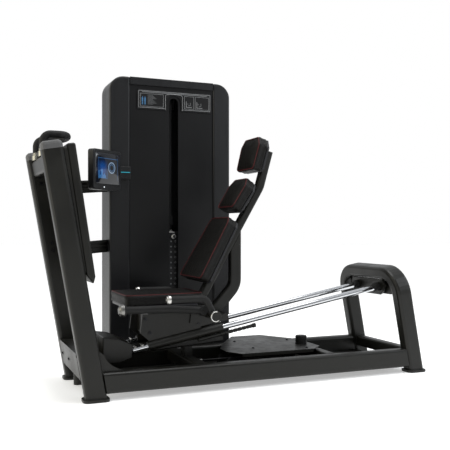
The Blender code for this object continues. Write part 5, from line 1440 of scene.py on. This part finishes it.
class LEGPRESS_OT_placard(bpy.types.Operator):
    """Printed lines, plain bars and simple diagrams on the placard"""

    bl_idname = "legpress.placard"
    bl_label = "Placard"

    def execute(self, context):
        palette = finishes()
        low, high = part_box("instruction_placard")
        face = low.y
        lines = bmesh.new()
        quiet = bmesh.new()
        blue = bmesh.new()

        def bar(bm, x0, z0, x1, z1):
            plain(bm, (x0, face - 0.0006, z0), (x1, face + 0.0004, z1), 0.0001)

        left, right = low.x + 0.008, high.x - 0.008
        bottom, top = low.z + 0.008, high.z - 0.008
        slot = place(SLOT_X, 0, 0).x
        for x0, z0, x1, z1 in (
                (left, top - 0.0014, right, top), (left, bottom, left + 0.0014, top),
                (right - 0.0014, bottom, right, top), (left, bottom, slot - 0.055, bottom + 0.0014),
                (slot + 0.055, bottom, right, bottom + 0.0014)):
            bar(lines, x0, z0, x1, z1)
        bar(quiet, left + 0.020, top - 0.0095, right - 0.020, top - 0.0050)
        panel_top = top - 0.016
        for x0, x1 in ((left + 0.010, slot - 0.062), (slot + 0.062, slot + 0.118),
                       (slot + 0.126, right - 0.008)):
            for z in (bottom + 0.007, panel_top - 0.0008):
                bar(lines, x0, z, x1, z + 0.0009)
            for x in (x0, x1 - 0.0009):
                bar(lines, x, bottom + 0.007, x + 0.0009, panel_top)
        for index in range(9):
            z = panel_top - 0.008 - index * 0.0062
            reach = 0.030 + 0.020 * ((index * 5) % 4) / 3
            bar(quiet, left + 0.052, z, left + 0.052 + reach, z + 0.0018)
        for index in range(2):
            x = left + 0.018 + index * 0.015
            middle = (bottom + panel_top) / 2
            bar(blue, x, middle - 0.004, x + 0.008, middle + 0.016)
            bar(blue, x + 0.0005, middle - 0.022, x + 0.0034, middle - 0.005)
            bar(blue, x + 0.0046, middle - 0.022, x + 0.0075, middle - 0.005)
            bar(blue, x + 0.0022, middle + 0.0175, x + 0.0058, middle + 0.0215)
        for start in (slot + 0.070, slot + 0.134):
            base = bottom + 0.016
            bar(lines, start, base, start + 0.036, base + 0.0016)
            bar(lines, start + 0.002, base, start + 0.0036, base + 0.034)
            bar(quiet, start + 0.014, base + 0.010, start + 0.028, base + 0.0125)
            bar(quiet, start + 0.026, base + 0.010, start + 0.0285, base + 0.028)
            bar(quiet, start + 0.006, base + 0.019, start + 0.016, base + 0.0212)
        keep("placard_lines", lines, palette["ink"], "base", smooth=False)
        keep("placard_rules", quiet, palette["grey_ink"], "base", smooth=False)
        keep("placard_figures", blue, palette["blue_ink"], "base", smooth=False)
        arch = [Vector((slot - 0.050, face - 0.0002, low.z + 0.002)),
                Vector((slot - 0.050, face - 0.0002, high.z - 0.028))]
        arch += [
            Vector((slot - 0.050 * math.cos(a), face - 0.0002,
                    high.z - 0.028 + 0.010 * math.sin(a)))
            for a in (math.pi * step / 24 for step in range(1, 24))]
        arch += [Vector((slot + 0.050, face - 0.0002, high.z - 0.028)),
                 Vector((slot + 0.050, face - 0.0002, low.z + 0.002))]
        tree = welt_tree()
        grow("placard_arch", tree, {"Radius": 0.0007, "Finish": palette["ink"]}, "base",
             line_mesh("arch_line", [arch], closed=False))
        return {"FINISHED"}


class LEGPRESS_OT_belt_run(bpy.types.Operator):
    """Pulleys and belts that show under the near end of the base cover"""

    bl_idname = "legpress.belt_run"
    bl_label = "Belt Run"

    def execute(self, context):
        palette = finishes()
        bm = bmesh.new()
        for x, y in PULLEY_PLACES:
            disc_stack(bm, place(x, y - 0.013, PULLEY_HEIGHT), ACROSS, PULLEY_PROFILE, 40)
        keep("base_pulleys", bm, palette["steel"], "base")
        belts = bmesh.new()
        for y, z0, z1 in BELT_RUNS:
            plain(belts, place(0.742, y - BELT_HALF_WIDTH, z0 - 0.001),
                  place(1.118, y + BELT_HALF_WIDTH, z1 + 0.001), 0.0006)
        plain(belts, place(0.560, 0.1805, 0.1075), place(0.742, 0.1995, 0.1095), 0.0006)
        keep("base_belts", belts, palette["belt"], "base")
        ends = bmesh.new()
        eased_box(ends, place(0.560, 0.190, 0.1085), (ALONG, ACROSS, UP),
                  (0.034, 0.026, 0.010), 0.001)
        disc_stack(ends, place(0.205, CENTRE_Y - 0.1, 0.2575) - UP * 0.052, ACROSS, (
            (0.0, 0.008), (0.012, 0.008), (0.013, 0.006)), 24)
        keep("belt_ends", ends, palette["silver"], "base")
        return {"FINISHED"}


class LEGPRESS_OT_lift_strap(bpy.types.Operator):
    """The belt above the weight stack, copied from the frame's belt. On the machine it shortens as
    the stack rises; here it stays as it is.
    """

    bl_idname = "legpress.lift_strap"
    bl_label = "Lift Strap"

    def execute(self, context):
        palette = finishes()
        bm = bmesh.new()
        bm.from_mesh(frame["nodes"]["lift_belt"].data)
        bmesh.ops.remove_doubles(bm, verts=bm.verts, dist=0.00001)
        strap = keep("lift_strap", bm, palette["belt"], "base")
        low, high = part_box("lift_belt")
        joints = frame["record"]["behaviour"]["joints"]
        travel = next(j["range_m"][1] for j in joints if j["name"] == "stack_lift")
        left = 1.0 - travel / (high.z - low.z)
        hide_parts("lift_belt")
        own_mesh(strap)
        return {"FINISHED"}


class LEGPRESS_OT_plates(bpy.types.Operator):
    """Bright clamp plates at the front of the guide rods, and the bosses behind the footplate"""

    bl_idname = "legpress.plates"
    bl_label = "Clamp Plates"

    def execute(self, context):
        palette = finishes()
        bm = bmesh.new()
        for y in (CENTRE_Y - 0.1, CENTRE_Y + 0.1):
            for x in (0.226, 0.262):
                centre = rod_point(x, y, 0.0165)
                square = Vector((-INCLINE.z, 0.0, INCLINE.x))
                eased_box(bm, centre, (INCLINE, ACROSS, square), (0.009, 0.052, 0.0040), 0.0012)
        keep("rod_clamp_plates", bm, palette["silver"], "base")
        near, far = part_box("rail_near"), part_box("rail_far")
        # Painted shade: a dark sheet between the rails stands for the floor in shade under the
        # machine.
        shade_sheet = bmesh.new()
        plain(shade_sheet, (near[0].x + 0.035, near[1].y - 0.001, near[0].z + 0.004),
              (near[1].x + 0.030, far[0].y + 0.001, near[0].z + 0.007), 0.0005)
        keep("base_shade_sheet", shade_sheet, palette["frame"], "base")
        web = bmesh.new()
        low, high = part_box("rod_bracket")
        square = Vector((-INCLINE.z, 0.0, INCLINE.x))
        middle = (low + high) / 2
        rise = (high.z - low.z) * 0.86
        half = (high.y - low.y) / 2 + 0.040
        corners = [middle + ALONG * 0.012 + ACROSS * a * half + square * b * rise / 2
                   for a, b in SQUARE]
        loop = rounded_loop(corners, 0.030)
        loft(web, [loop, [p + INCLINE * 0.008 for p in loop]])
        keep("arch_web", web, palette["frame"], "base")
        bosses = bmesh.new()
        for height in (0.930, 0.610):
            for y in (0.115, 0.400):
                start = lean_point(height, y, 0.0478)
                disc_stack(bosses, start, -UPRIGHT_FORE, BOSS_PROFILE, 32)
        keep("footplate_bosses", bosses, palette["frame"], "base")
        # Painted shade: dark strips fill the gap between each upright and the footplate, where only
        # shade shows.
        lean = UPRIGHT_LEAN - math.radians(1.35)
        rise = Vector((-math.sin(lean), 0.0, math.cos(lean)))
        gap_shade_strips = bmesh.new()
        for y in (0.0, FRAME_GAUGE):
            rings = []
            for side in (-0.024, 0.024):
                foot = lean_point(0.500, y + side, 0.0490)
                rings.append([
                    lean_point(0.560, y + side, 0.0477), lean_point(1.105, y + side, 0.0477),
                    foot + rise * 0.605 - UPRIGHT_FORE * 0.0004,
                    foot + rise * 0.060 - UPRIGHT_FORE * 0.0004])
            loft(gap_shade_strips, rings)
        keep("footplate_gap_shade_strips", gap_shade_strips, palette["frame"], "base", smooth=False)
        return {"FINISHED"}


class LEGPRESS_OT_stage(bpy.types.Operator):
    """Pale floor, soft light and the camera"""

    bl_idname = "legpress.stage"
    bl_label = "Stage"

    def execute(self, context):
        scene = bpy.context.scene
        scene.view_settings.view_transform = "Standard"
        finish = Finish("Pale Floor", (0.86, 0.86, 0.85), 0.60, Emission_Strength=0.40)
        finish.set("Emission Color", WHITE)
        mottle = finish.noise(3.0, 4.0)
        finish.set("Base Color", finish.blend(mottle, (0.84, 0.84, 0.835), (0.88, 0.88, 0.875)))
        bm = bmesh.new()
        bmesh.ops.create_circle(bm, cap_ends=True, segments=96, radius=FLOOR_RADIUS)
        mesh = bpy.data.meshes.new("studio_floor")
        bm.to_mesh(mesh)
        bm.free()
        floor = linked("studio_floor", mesh)
        mesh.materials.append(finish.material)
        floor.location.z = -FLOOR_DROP
        world = bpy.data.worlds.new("Studio")
        world.use_nodes = True
        world.node_tree.nodes.clear()
        room = Graph(world.node_tree)
        coords = room.node("ShaderNodeTexCoord", output="Generated")
        facing = room.node("ShaderNodeSeparateXYZ", values={0: coords})
        glow = (room.between(facing.other("Z"), 0.0, 1.0) * 0.52
                + room.between(facing.other("Y"), 0.10, 0.75) * 0.44)
        left = room.between(facing * -1.0, 0.30, 0.95)
        glow = glow + left * 0.34 + room.between(facing, 0.30, 0.95) * 0.12 + 0.19
        tint = room.blend(left, COOL_LIGHT, WARM_LIGHT)
        soft = room.node("ShaderNodeBackground", values={"Color": tint, "Strength": glow})
        plain_white = room.node("ShaderNodeBackground", values={"Color": WHITE, "Strength": 1.0})
        seen = room.node("ShaderNodeLightPath", output="Is Camera Ray")
        mixed = room.node("ShaderNodeMixShader", values={0: seen, 1: soft, 2: plain_white})
        room.node("ShaderNodeOutputWorld", values={0: mixed})
        scene.world = world
        for name, place_at, target, width, height, power, tint in SOFTBOXES:
            lamp = bpy.data.lights.new(name, "AREA")
            lamp.shape = "RECTANGLE"
            lamp.size = width
            lamp.size_y = height
            lamp.energy = power
            lamp.color = tint
            holder = linked(name, lamp)
            holder.location = place_at
            aim = Vector(target) - Vector(place_at)
            holder.rotation_euler = aim.to_track_quat("-Z", "Y").to_euler()
        lens = bpy.data.cameras.new("Camera")
        lens.lens = CAMERA_LENS
        lens.sensor_width = CAMERA_SENSOR
        lens.shift_y = CAMERA_RISE
        camera = linked("Camera", lens)
        camera.location = CAMERA_PLACE
        camera.rotation_euler = (math.radians(90), 0.0, CAMERA_HEADING)
        scene.camera = camera
        return {"FINISHED"}


STEPS = (
    LEGPRESS_OT_stage, LEGPRESS_OT_frame, LEGPRESS_OT_pads, LEGPRESS_OT_pad_mounts,
    LEGPRESS_OT_fixings, LEGPRESS_OT_welds, LEGPRESS_OT_grips, LEGPRESS_OT_weights,
    LEGPRESS_OT_display, LEGPRESS_OT_placard, LEGPRESS_OT_belt_run, LEGPRESS_OT_lift_strap,
    LEGPRESS_OT_plates,
)


class LEGPRESS_PT_panel(bpy.types.Panel):
    """Lists the steps and the settings"""

    bl_idname = "LEGPRESS_PT_panel"
    bl_label = "Leg Press"
    bl_space_type = "VIEW_3D"
    bl_region_type = "UI"
    bl_category = "Leg Press"

    def draw(self, context):
        column = self.layout.column()
        for step in STEPS:
            column.operator(step.bl_idname)
        for group in (context.scene.leg_press_colours, context.scene.leg_press_sizes):
            for name in group.__annotations__:
                column.prop(group, name)


CLASSES = (LegPressColours, LegPressSizes) + STEPS + (LEGPRESS_PT_panel,)


def register():
    for each in CLASSES:
        bpy.utils.register_class(each)
    bpy.types.Scene.leg_press_colours = PointerProperty(type=LegPressColours)
    bpy.types.Scene.leg_press_sizes = PointerProperty(type=LegPressSizes)


def unregister():
    del bpy.types.Scene.leg_press_sizes
    del bpy.types.Scene.leg_press_colours
    for each in reversed(CLASSES):
        bpy.utils.unregister_class(each)


def main():
    register()
    for step in STEPS:
        group, name = step.bl_idname.split(".")
        getattr(getattr(bpy.ops, group), name)()


if __name__ == "__main__":
    main()
